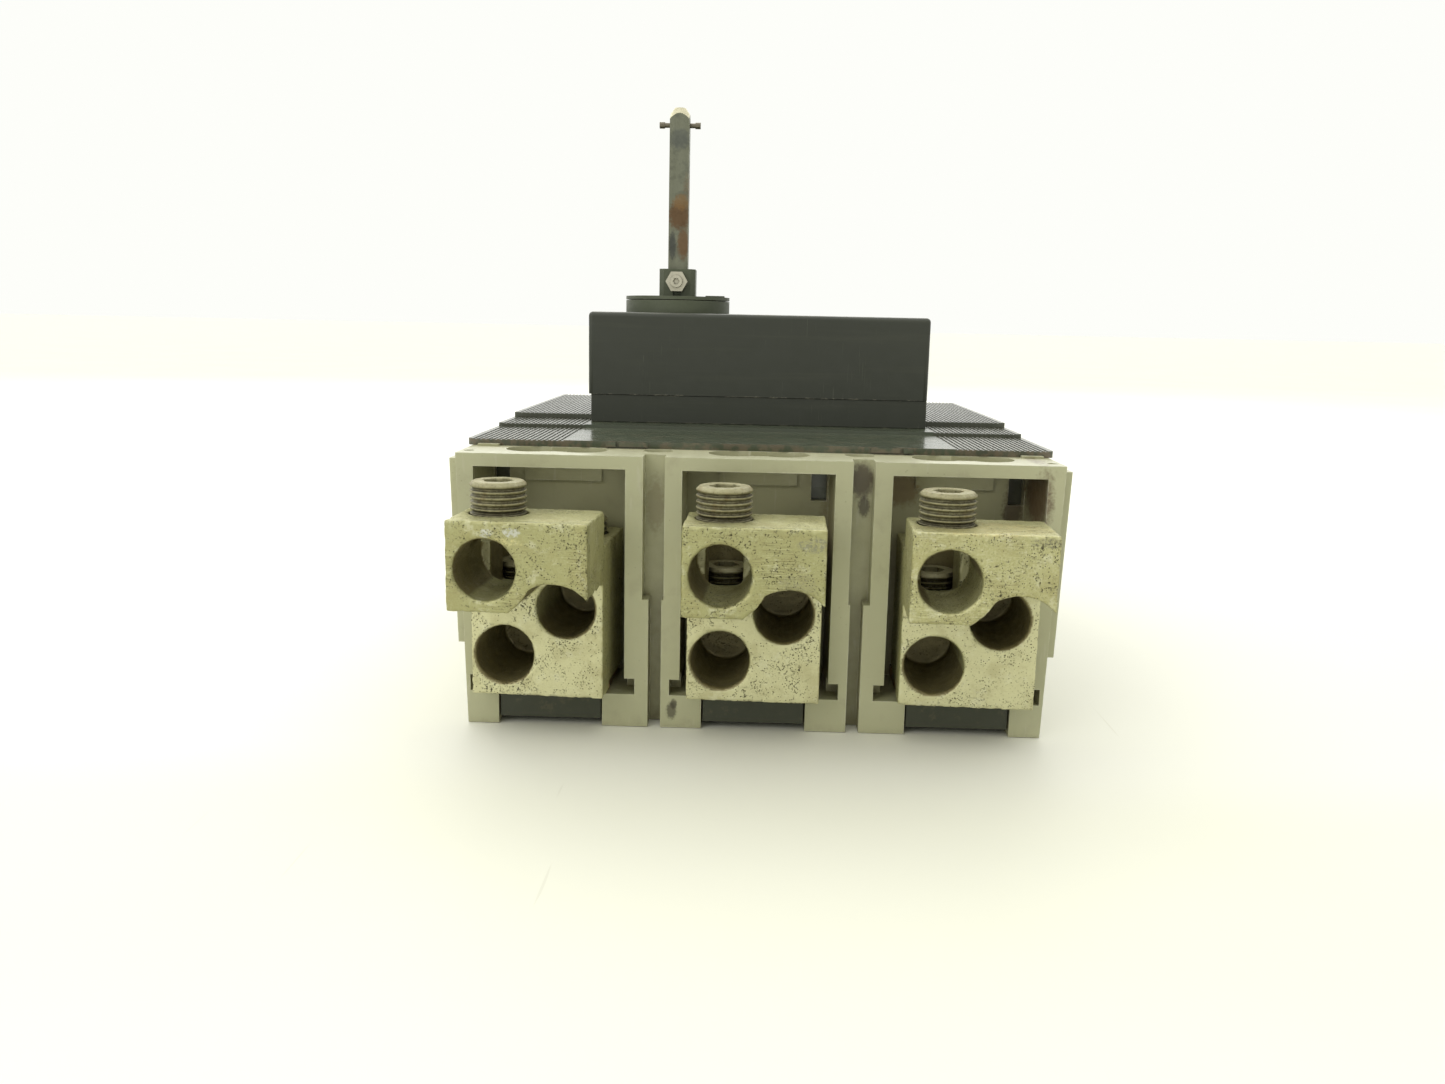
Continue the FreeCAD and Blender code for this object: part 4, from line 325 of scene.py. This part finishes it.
def lug_metal():
    """Saw-cut aluminium: yellowed oxide, pits in clusters, bruised bright edges, painted shade in the bores
    and crevices.
    """
    s = Shade("lug_aluminium")
    lower = s.math("MULTIPLY", s.ramp(s.axis("Y"), -150.0, -146.0), s.ramp(s.facing("Y"), -0.5, -0.9))
    dull = s.math("MULTIPLY", s.ramp(s.axis("Y"), -166.0, -168.0), s.ramp(s.axis("X"), 32.0, 26.0))
    color = s.mix(s.noise(9, 5, 0.6), srgb(184, 182, 134), srgb(168, 165, 116))
    color = s.mix(s.ramp(s.noise(0.7, 3, 0.7), 0.4, 0.66, 0, 0.4), color, srgb(206, 204, 168))
    color = s.mix(s.math("MULTIPLY", lower, 0.75), color, srgb(216, 214, 174))
    color = s.mix(s.math("MULTIPLY", dull, 0.55), color, srgb(150, 149, 102))
    patch = s.ramp(s.noise(13, 5, 0.65), 0.46, 0.64)
    color = s.mix(s.math("MULTIPLY", patch, 0.3), color, srgb(150, 140, 92))
    pale = s.ramp(s.noise(5, 5, 0.7, s.stretch(1, 1, 1, (11, 5, 2))), 0.54, 0.66)
    color = s.mix(s.math("MULTIPLY", pale, 0.3), color, srgb(222, 222, 198))
    sawn = s.noise(0.42, 3, 0.7, s.stretch(0.05, 1, 1))
    nose = s.math("MULTIPLY", s.ramp(s.axis("Y"), -150.0, -160.0), s.ramp(s.noise(14, 3), 0.42, 0.6))
    lines = s.math("MULTIPLY", s.ramp(sawn, 0.5, 0.6), nose)
    color = s.mix(s.math("MULTIPLY", lines, 0.5), color, srgb(118, 112, 74))
    bright = s.math("MULTIPLY", s.ramp(sawn, 0.42, 0.34), nose)
    color = s.mix(s.math("MULTIPLY", bright, 0.4), color, srgb(214, 212, 172))
    right = s.ramp(s.axis("X"), 20.0, 60.0)
    dense = s.math("ADD", s.ramp(s.noise(7, 4, 0.7), 0.44, 0.6), s.math("MULTIPLY", right, 0.25), True)
    small = s.math("MULTIPLY", s.ramp(s.cells(0.85), 0.14, 0.26, 1, 0), dense)
    where = s.ramp(s.noise(10, 4, 0.7), 0.48, 0.58)
    large = s.math("MULTIPLY", s.ramp(s.noise(0.8, 4, 0.75), 0.57, 0.62), where)
    pits = s.math("MAXIMUM", small, large)
    color = s.mix(s.math("MULTIPLY", pits, 0.95), color, srgb(58, 50, 32))
    # Bore walls, marked by the stored hollow attribute, turn darker brown: painted shade inside the bores.
    bore_shade_mask = s.stored("hollow")
    wall = s.mix(s.noise(6, 5, 0.7), srgb(92, 82, 56), srgb(150, 138, 98))
    color = s.mix(s.math("MULTIPLY", bore_shade_mask, 0.85), color, wall)
    edge = s.math("MULTIPLY", s.edges(0.45, 0.03, 0.2), s.math("SUBTRACT", 1.0, bore_shade_mask))
    chips = s.math("MULTIPLY", edge, s.ramp(s.noise(1.4, 5, 0.75), 0.44, 0.54))
    color = s.mix(s.math("MULTIPLY", chips, 0.95), color, srgb(58, 52, 36))
    shine = s.math("MULTIPLY", edge, s.ramp(s.noise(1.2, 5, 0.7, s.stretch(1, 1, 1, (31, 7, 3))), 0.5, 0.58))
    color = s.mix(s.math("MULTIPLY", shine, 0.55), color, srgb(228, 228, 208))
    bruises = (((-85.0, -170, 74.2), (2.0, 3, 1.5), srgb(206, 208, 204), 0.75),
               ((-76.8, -170, 74.6), (2.6, 3, 1.5), srgb(200, 202, 198), 0.75),
               ((-80.0, -170, 71.5), (6.0, 3, 1.2), srgb(214, 206, 150), 0.6),
               ((17.5, -170, 73.0), (5.0, 3, 2.4), srgb(112, 112, 104), 0.55),
               ((13.0, -170, 60.0), (6.0, 3, 3.4), srgb(138, 136, 112), 0.45),
               ((90.0, -170, 75.6), (6.0, 3, 1.6), srgb(92, 90, 80), 0.6),
               ((56.0, -144, 22.0), (5.0, 3, 4.0), srgb(104, 98, 76), 0.4),
               ((73.0, -160, 78), (20.0, 12, 2.0), srgb(196, 178, 116), 0.4))
    torn = s.ramp(s.noise(0.9, 4, 0.7), 0.46, 0.56, 0.15, 1.0)
    for centre, radii, tint, strength in bruises:
        mark = s.math("MULTIPLY", s.spot(centre, radii, 0.2, 0.9), torn)
        color = s.mix(s.math("MULTIPLY", mark, strength), color, tint)
    # Dark brown in corners and crevices: painted shade from ambient occlusion.
    color = s.mix(s.math("MULTIPLY", s.crevice_shade(5, 0.1, 0.55), 0.7), color, srgb(66, 54, 34))
    s.bump(s.ramp(sawn, 0.3, 0.7), 0.03)
    s.bump(s.math("SUBTRACT", 1.0, pits), 0.2)
    s.bump(s.noise(0.9, 4, 0.6), 0.08)
    rough = s.ramp(s.noise(2.4, 4), 0.3, 0.7, 0.34, 0.52)
    rough = s.math("ADD", rough, s.math("MULTIPLY", pits, 0.25), True)
    return s.finish(color, rough, metal=0.45, specular=0.5)


def screw_metal():
    """Clamp screws: pale rubbed crests, very dark brown painted shade in the thread."""
    s = Shade("clamp_screw_metal")
    color = s.mix(s.noise(3, 5, 0.65), srgb(172, 168, 134), srgb(122, 116, 84))
    rust = s.ramp(s.noise(4.5, 5, 0.7), 0.52, 0.66)
    color = s.mix(s.math("MULTIPLY", rust, 0.5), color, srgb(122, 102, 62))
    # Very dark brown in the thread and crevices: painted shade from ambient occlusion.
    color = s.mix(s.math("MULTIPLY", s.crevice_shade(2.4, 0.4, 1.0), 0.95), color, srgb(36, 31, 20))
    pits = s.ramp(s.noise(0.8, 4, 0.75), 0.55, 0.64)
    color = s.mix(s.math("MULTIPLY", pits, 0.6), color, srgb(64, 56, 38))
    bright = s.math("MULTIPLY", s.edges(0.35, 0.03, 0.25), s.ramp(s.noise(1.5, 4), 0.4, 0.56))
    color = s.mix(s.math("MULTIPLY", bright, 0.6), color, srgb(222, 220, 196))
    s.bump(s.noise(0.8, 5, 0.7), 0.14)
    s.bump(s.noise(3, 3), 0.15)
    return s.finish(color, s.ramp(s.noise(1.2, 4), 0.3, 0.7, 0.4, 0.62), metal=0.4)


def shaft_metal():
    """Drawn square bar: fine lengthwise lines, dull grey, rust blooms, bright turned tip."""
    s = Shade("shaft_metal")
    color = s.mix(s.noise(2.2, 4, 0.6, s.stretch(1, 1, 0.12)), srgb(122, 124, 108), srgb(98, 100, 86))
    blotch = s.ramp(s.noise(6, 4, 0.6), 0.5, 0.62)
    color = s.mix(s.math("MULTIPLY", blotch, 0.4), color, srgb(82, 84, 76))
    rusts = (((-35.6, -16.1, 184.5), (4.6, 2.5, 5.5), srgb(92, 66, 40), 0.9),
             ((-35.0, -16.1, 190.0), (3.2, 2.5, 3.0), srgb(122, 94, 58), 0.7),
             ((-33.8, -16.1, 173.0), (2.4, 2.5, 6.0), srgb(100, 74, 48), 0.85),
             ((-38.4, -16.1, 172.0), (1.4, 2.5, 5.5), srgb(62, 64, 62), 0.8),
             ((-36.0, -16.1, 215.5), (4.2, 2.5, 4.0), srgb(78, 82, 80), 0.6),
             ((-33.0, -12.0, 196.0), (2.0, 4.0, 8.0), srgb(110, 78, 50), 0.6),
             ((-38.5, -9.0, 178.0), (3.5, 3.0, 9.0), srgb(102, 76, 48), 0.8))
    for centre, radii, tint, strength in rusts:
        color = s.mix(s.math("MULTIPLY", s.spot(centre, radii), strength), color, tint)
    tip = s.ramp(s.axis("Z"), 221.5, 225.0)
    tip = s.math("MULTIPLY", tip, s.ramp(s.facing("Z"), 0.3, 0.6))
    color = s.mix(s.math("MULTIPLY", tip, 0.85), color, srgb(206, 200, 172))
    bright = s.math("MULTIPLY", s.edges(0.3, 0.04, 0.3), s.ramp(s.noise(2, 4), 0.46, 0.6))
    color = s.mix(s.math("MULTIPLY", bright, 0.7), color, srgb(176, 174, 156))
    s.bump(s.noise(0.5, 2, 0.5, s.stretch(1, 1, 0.04)), 0.03)
    s.bump(s.noise(1.6, 4, 0.6), 0.04)
    return s.finish(color, s.ramp(s.noise(3, 4), 0.3, 0.7, 0.38, 0.62), metal=0.55)


def zinc_steel(name="zinc_steel", tint=(188, 188, 178)):
    """Plated steel: slightly mottled, fine scratches."""
    s = Shade(name)
    dark = tuple(v * 0.78 for v in tint)
    color = s.mix(s.noise(4, 4), srgb(*tint), srgb(*dark))
    # Darker in corners and crevices: painted shade from ambient occlusion.
    color = s.mix(s.math("MULTIPLY", s.crevice_shade(1.4, 0.25, 0.8), 0.6), color, srgb(60, 54, 42))
    s.bump(s.noise(0.4, 2, 0.5, s.stretch(1, 0.1, 1)), 0.015)
    s.bump(s.noise(2, 4), 0.02)
    return s.finish(color, s.ramp(s.noise(3, 4), 0.3, 0.7, 0.24, 0.42), metal=0.9)


def copper_metal(name, tint, other):
    """Tinned or bare copper with handling marks."""
    s = Shade(name)
    color = s.mix(s.ramp(s.noise(8, 5, 0.65), 0.42, 0.62), srgb(*tint), srgb(*other))
    # Dark brown in corners and crevices: painted shade from ambient occlusion.
    color = s.mix(s.math("MULTIPLY", s.crevice_shade(2.5, 0.25, 0.8), 0.6), color, srgb(58, 44, 30))
    s.bump(s.noise(0.6, 2, 0.5, s.stretch(0.1, 1, 1)), 0.02)
    return s.finish(color, s.ramp(s.noise(4, 4), 0.3, 0.7, 0.28, 0.46), metal=0.9)


def plain_moulding(name, tint, rough=(0.4, 0.55)):
    """Dark inner mouldings and fibre sheets with grain and speckle."""
    s = Shade(name)
    dark = tuple(v * 0.8 for v in tint)
    color = s.mix(s.noise(12, 5, 0.6), srgb(*tint), srgb(*dark))
    pale = tuple(min(255, v * 1.5) for v in tint)
    color = s.mix(s.ramp(s.noise(0.8, 3), 0.55, 0.7, 0, 0.25), color, srgb(*pale))
    s.bump(s.noise(0.5, 3), 0.02)
    return s.finish(color, s.ramp(s.noise(3, 4), 0.3, 0.7, *rough))


def braid_metal():
    """Woven copper: two crossing sets of fine strands."""
    s = Shade("braid_copper")
    left = s.noise(0.5, 1, 0.4, s.stretch(1, 1.6, 1.6))
    wave = s.add("ShaderNodeTexWave")
    wave.bands_direction = "DIAGONAL"
    s.put(wave.inputs["Vector"], s.pos)
    wave.inputs["Scale"].default_value = 0.9
    wave.inputs["Distortion"].default_value = 1.2
    color = s.mix(wave.outputs["Fac"], srgb(120, 66, 40), srgb(206, 138, 96))
    s.bump(wave.outputs["Fac"], 0.3)
    s.bump(left, 0.1)
    return s.finish(color, 0.4, metal=0.9)


# ---------------------------------------------------------------- put materials on nodes

MATERIALS = {
    "case": case_plastic(),
    "cover": cover_plastic(),
    "operator": operator_plastic(),
    "hub": hub_plastic(),
    "tray": dark_tray(),
    "lug": lug_metal(),
    "screw": screw_metal(),
    "shaft": shaft_metal(),
    "zinc": zinc_steel(),
    "nut": zinc_steel("bright_nut", (198, 194, 176)),
    "pin": zinc_steel("cross_pin_steel", (120, 114, 100)),
    "copper": copper_metal("bar_copper", (196, 160, 120), (182, 178, 168)),
    "silver": copper_metal("contact_silver", (206, 204, 196), (170, 166, 156)),
    "fibre": plain_moulding("fibre_sheet", (150, 104, 72)),
    "inner": plain_moulding("inner_moulding", (52, 50, 46)),
    "button": plain_moulding("button_red", (176, 34, 26), (0.3, 0.4)),
    "braid": braid_metal(),
}
WEARS = {
    "case": ["base_housing"],
    "cover": ["front_cover"],
    "operator": ["operator_base", "operator_cover"],
    "hub": ["operator_collar", "operator_rotor", "shaft_coupling"],
    "tray": ["line_end_insulators", "load_end_insulators"],
    "lug": ["lug_left", "lug_middle", "lug_right"],
    "screw": ["clamp_screw_left", "clamp_screw_middle", "clamp_screw_right", "rear_clamp_screws",
              "trip_magnets", "main_springs"],
    "shaft": ["handle_shaft"],
    "pin": ["shaft_cross_pin"],
    "nut": ["coupling_lock_nut", "coupling_set_screw"],
    "copper": ["line_terminals", "load_terminals", "contact_arms"],
    "silver": ["fixed_contact_pads", "moving_contact_pads"],
    "fibre": ["arc_chute_sides"],
    "inner": ["crossbar", "toggle_handle", "trip_bar", "trip_bar_brackets", "trip_unit_case"],
    "button": ["trip_push_rod"],
    "braid": ["flexible_braids"],
}
wearer = {node: key for key, names in WEARS.items() for node in names}
for name, obj in nodes.items():
    material = MATERIALS[wearer.get(name, "zinc")]
    if not obj.material_slots:
        obj.data.materials.append(material)
    for used in obj.material_slots:
        used.material = material


# ---------------------------------------------------------------- moulded edges

def soften_mouldings():
    """Small rounds on the sharp edges of the mouldings, so that they catch the light."""
    for name in ("base_housing", "operator_base", "operator_cover"):
        weld = nodes[name].modifiers.new("weld", "WELD")
        weld.merge_threshold = 0.00001
        rounds = nodes[name].modifiers.new("moulded_rounds", "BEVEL")
        rounds.width = MOULDED_ROUND
        rounds.segments = 2
        rounds.limit_method = "ANGLE"
        rounds.angle_limit = math.radians(50)
        rounds.harden_normals = False


# ---------------------------------------------------------------- battered metal pieces

def neighbour_mean(points, pairs, rounds):
    """Points averaged with their neighbours a number of times."""
    count = np.bincount(pairs.ravel(), minlength=len(points))[:, None]
    result = points.copy()
    for _ in range(rounds):
        total = np.zeros_like(result)
        np.add.at(total, pairs[:, 0], result[pairs[:, 1]])
        np.add.at(total, pairs[:, 1], result[pairs[:, 0]])
        result = 0.5 * result + 0.5 * total / np.maximum(count, 1)
    return result


def noise_field(points, size, offset, octaves=3):
    """Fractal noise at each point, about -1 to 1, with blobs of about size millimetres."""
    scale = 1000.0 / size
    shift = Vector(offset)
    return np.array([noise.fractal(Vector(p) * scale + shift, 0.6, 2.0, octaves) for p in points.tolist()])


def remeshed(node, voxel):
    """A copy of a CAD node's mesh as even small quads."""
    mesh = nodes[node].data.copy()
    obj = bpy.data.objects.new(node + "_worn", mesh)
    bpy.context.scene.collection.objects.link(obj)
    grid = obj.modifiers.new("grid", "REMESH")
    grid.mode = "VOXEL"
    grid.voxel_size = voxel * MM
    grid.use_smooth_shade = True
    depsgraph = bpy.context.evaluated_depsgraph_get()
    result = bpy.data.meshes.new_from_object(obj.evaluated_get(depsgraph))
    obj.modifiers.clear()
    obj.data = result
    bpy.data.meshes.remove(mesh)
    return obj


def battered(node, voxel, dent, chip, seed):
    """Stands for a CAD node: the same shape with knocked edges, dents and a hammered skin."""
    obj = remeshed(node, voxel)
    mesh = obj.data
    count = len(mesh.vertices)
    points = np.empty(count * 3)
    mesh.vertices.foreach_get("co", points)
    points = points.reshape(-1, 3)
    normals = np.empty(count * 3)
    mesh.vertices.foreach_get("normal", normals)
    normals = normals.reshape(-1, 3)
    pairs = np.empty(len(mesh.edges) * 2, dtype=np.int64)
    mesh.edges.foreach_get("vertices", pairs)
    pairs = pairs.reshape(-1, 2)
    soft = neighbour_mean(points, pairs, 4)
    crest = np.einsum("ij,ij->i", points - soft, normals) / MM
    ridge = np.clip(crest / (0.35 * voxel), 0, 1)
    fine = noise_field(points, 2.6, (seed, 3, 1))
    broad = noise_field(points, 11.0, (seed + 40, 9, 2), 2)
    knock = chip * ridge * np.clip(0.25 + 1.4 * fine, 0, 1.4)
    skin = dent * (0.6 * broad + 0.4 * fine)
    moved = points - normals * ((knock + np.clip(skin, 0, 1)) * MM)[:, None]
    mesh.vertices.foreach_set("co", moved.ravel())
    layer = mesh.attributes.new("hollow", "FLOAT", "POINT")
    layer.data.foreach_set("value", hollow_share(points, normals).astype(np.float32))
    mesh.update()
    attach(obj, body_of_node(node))
    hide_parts(node)
    return obj


def hollow_share(points, normals):
    """1 on surfaces that face the block's middle, as a bore's wall does, else 0 as at its front."""
    middle = (points.min(axis=0) + points.max(axis=0)) / 2
    outward = np.einsum("ij,ij->i", points - middle, normals)
    deep = np.clip(-outward / MM / 2.0, 0, 1)
    front = points[:, 1] - points[:, 1].min()
    return deep * np.clip(front / MM / 3.0, 0, 1)


def body_of_node(node):
    return next(body for body, names in frame["record"]["behaviour"]["bodies"].items() if node in names)


def battered_pieces():
    """The lugs and their front clamp screws, which carry the heaviest marks."""
    for seed, side in enumerate(("left", "middle", "right")):
        lug = battered("lug_" + side, seed=10.0 * seed, **LUG_WEAR)
        lug.data.materials.clear()
        lug.data.materials.append(MATERIALS["lug"])
        screw = battered("clamp_screw_" + side, seed=5.0 + 10.0 * seed, **SCREW_WEAR)
        screw.data.materials.clear()
        screw.data.materials.append(MATERIALS["screw"])


# ---------------------------------------------------------------- floor, light and camera

def floor_material():
    s = Shade("bench_top")
    color = s.mix(s.noise(220, 3), srgb(248, 248, 244), srgb(242, 242, 236))
    # Darker, yellower band on the bench just in front of the breaker: a painted shadow.
    front_shadow_band = s.math("MULTIPLY", s.ramp(s.axis("Y"), -150.0, -210.0, 0.0, 0.25),
                  s.ramp(s.axis("Y"), -420.0, -260.0))
    color = s.mix(front_shadow_band, color, srgb(232, 232, 204))
    line = s.ramp(s.noise(2.2, 2, 0.5, s.stretch(0.9, 0.016, 1), 0.4), 0.75, 0.78, 0, 0.3)
    color = s.mix(line, color, srgb(214, 212, 200))
    s.bump(s.noise(6, 3), 0.05)
    return s.finish(color, 0.6, specular=0.25)


def bench():
    mesh = bpy.data.meshes.new("bench")
    corners = [(x * BENCH_HALF, y * BENCH_HALF, 0) for x, y in ((-1, -1), (1, -1), (1, 1), (-1, 1))]
    mesh.from_pydata(corners, [], [(0, 1, 2, 3)])
    obj = bpy.data.objects.new("bench", mesh)
    bpy.context.scene.collection.objects.link(obj)
    obj.location.z = -BENCH_GAP
    obj.data.materials.append(floor_material())


def area(name, place, aim, size, power, tint):
    light = bpy.data.lights.new(name, "AREA")
    light.shape = "RECTANGLE"
    light.size, light.size_y = size
    light.energy = power
    light.color = tint
    obj = bpy.data.objects.new(name, light)
    obj.location = place
    obj.rotation_mode = "QUATERNION"
    obj.rotation_quaternion = (Vector(aim) - Vector(place)).to_track_quat("-Z", "Y")
    bpy.context.scene.collection.objects.link(obj)


def overhead():
    """An even ceiling of light that keeps the bench white out to the horizon."""
    light = bpy.data.lights.new("overhead", "SUN")
    light.energy = 2.0
    light.angle = math.radians(120)
    light.color = (1.0, 1.0, 0.97)
    obj = bpy.data.objects.new("overhead", light)
    obj.rotation_euler = (math.radians(-14), math.radians(-6), 0)
    bpy.context.scene.collection.objects.link(obj)


def studio():
    world = bpy.data.worlds.new("studio_white")
    world.use_nodes = True
    tree = world.node_tree
    tree.nodes.clear()
    out = tree.nodes.new("ShaderNodeOutputWorld")
    seen = tree.nodes.new("ShaderNodeBackground")
    lit = tree.nodes.new("ShaderNodeBackground")
    mix = tree.nodes.new("ShaderNodeMixShader")
    path = tree.nodes.new("ShaderNodeLightPath")
    seen.inputs["Color"].default_value = (0.985, 0.99, 0.95, 1)
    seen.inputs["Strength"].default_value = 1.0
    lit.inputs["Color"].default_value = (1.0, 1.0, 0.80, 1)
    lit.inputs["Strength"].default_value = 0.42
    bright = tree.nodes.new("ShaderNodeMath")
    bright.operation = "MAXIMUM"
    tree.links.new(path.outputs["Is Camera Ray"], bright.inputs[0])
    tree.links.new(path.outputs["Is Glossy Ray"], bright.inputs[1])
    tree.links.new(bright.outputs[0], mix.inputs[0])
    tree.links.new(lit.outputs[0], mix.inputs[1])
    tree.links.new(seen.outputs[0], mix.inputs[2])
    tree.links.new(mix.outputs[0], out.inputs["Surface"])
    bpy.context.scene.world = world
    warm = (1.0, 0.99, 0.90)
    overhead()
    area("back_soft", (-0.3, 1.5, 1.2), (0, 0, 0.05), (2.4, 1.4), 14, warm)
    area("front_left", (-1.1, -1.5, 0.9), (0, 0, 0.05), (1.0, 1.0), 7, warm)


def photo_camera():
    """Camera solved from the straight edges of the breaker's case."""
    yaw, pitch, roll = math.radians(-1.32), math.radians(10.53), math.radians(1.19)
    ahead = Vector((math.sin(yaw), math.cos(yaw), 0))
    right = Vector((math.cos(yaw), -math.sin(yaw), 0))
    up = Vector((0, 0, 1))
    forward = ahead * math.cos(pitch) - up * math.sin(pitch)
    lifted = up * math.cos(pitch) + ahead * math.sin(pitch)
    across = right * math.cos(roll) + lifted * math.sin(roll)
    top = lifted * math.cos(roll) - right * math.sin(roll)
    data = bpy.data.cameras.new("photo_camera")
    data.sensor_width = 36.0
    data.lens = 29.12
    data.clip_start = 0.01
    cam = bpy.data.objects.new("photo_camera", data)
    rotation = Matrix((across, top, -forward)).transposed()
    cam.matrix_world = Matrix.Translation(Vector((-2.8, -525.8, 139.6)) * MM) @ rotation.to_4x4()
    bpy.context.scene.collection.objects.link(cam)
    bpy.context.scene.camera = cam


soften_mouldings()
battered_pieces()
bench()
studio()
photo_camera()
bpy.context.scene.view_settings.view_transform = "Standard"
bpy.context.scene.view_settings.look = "None"
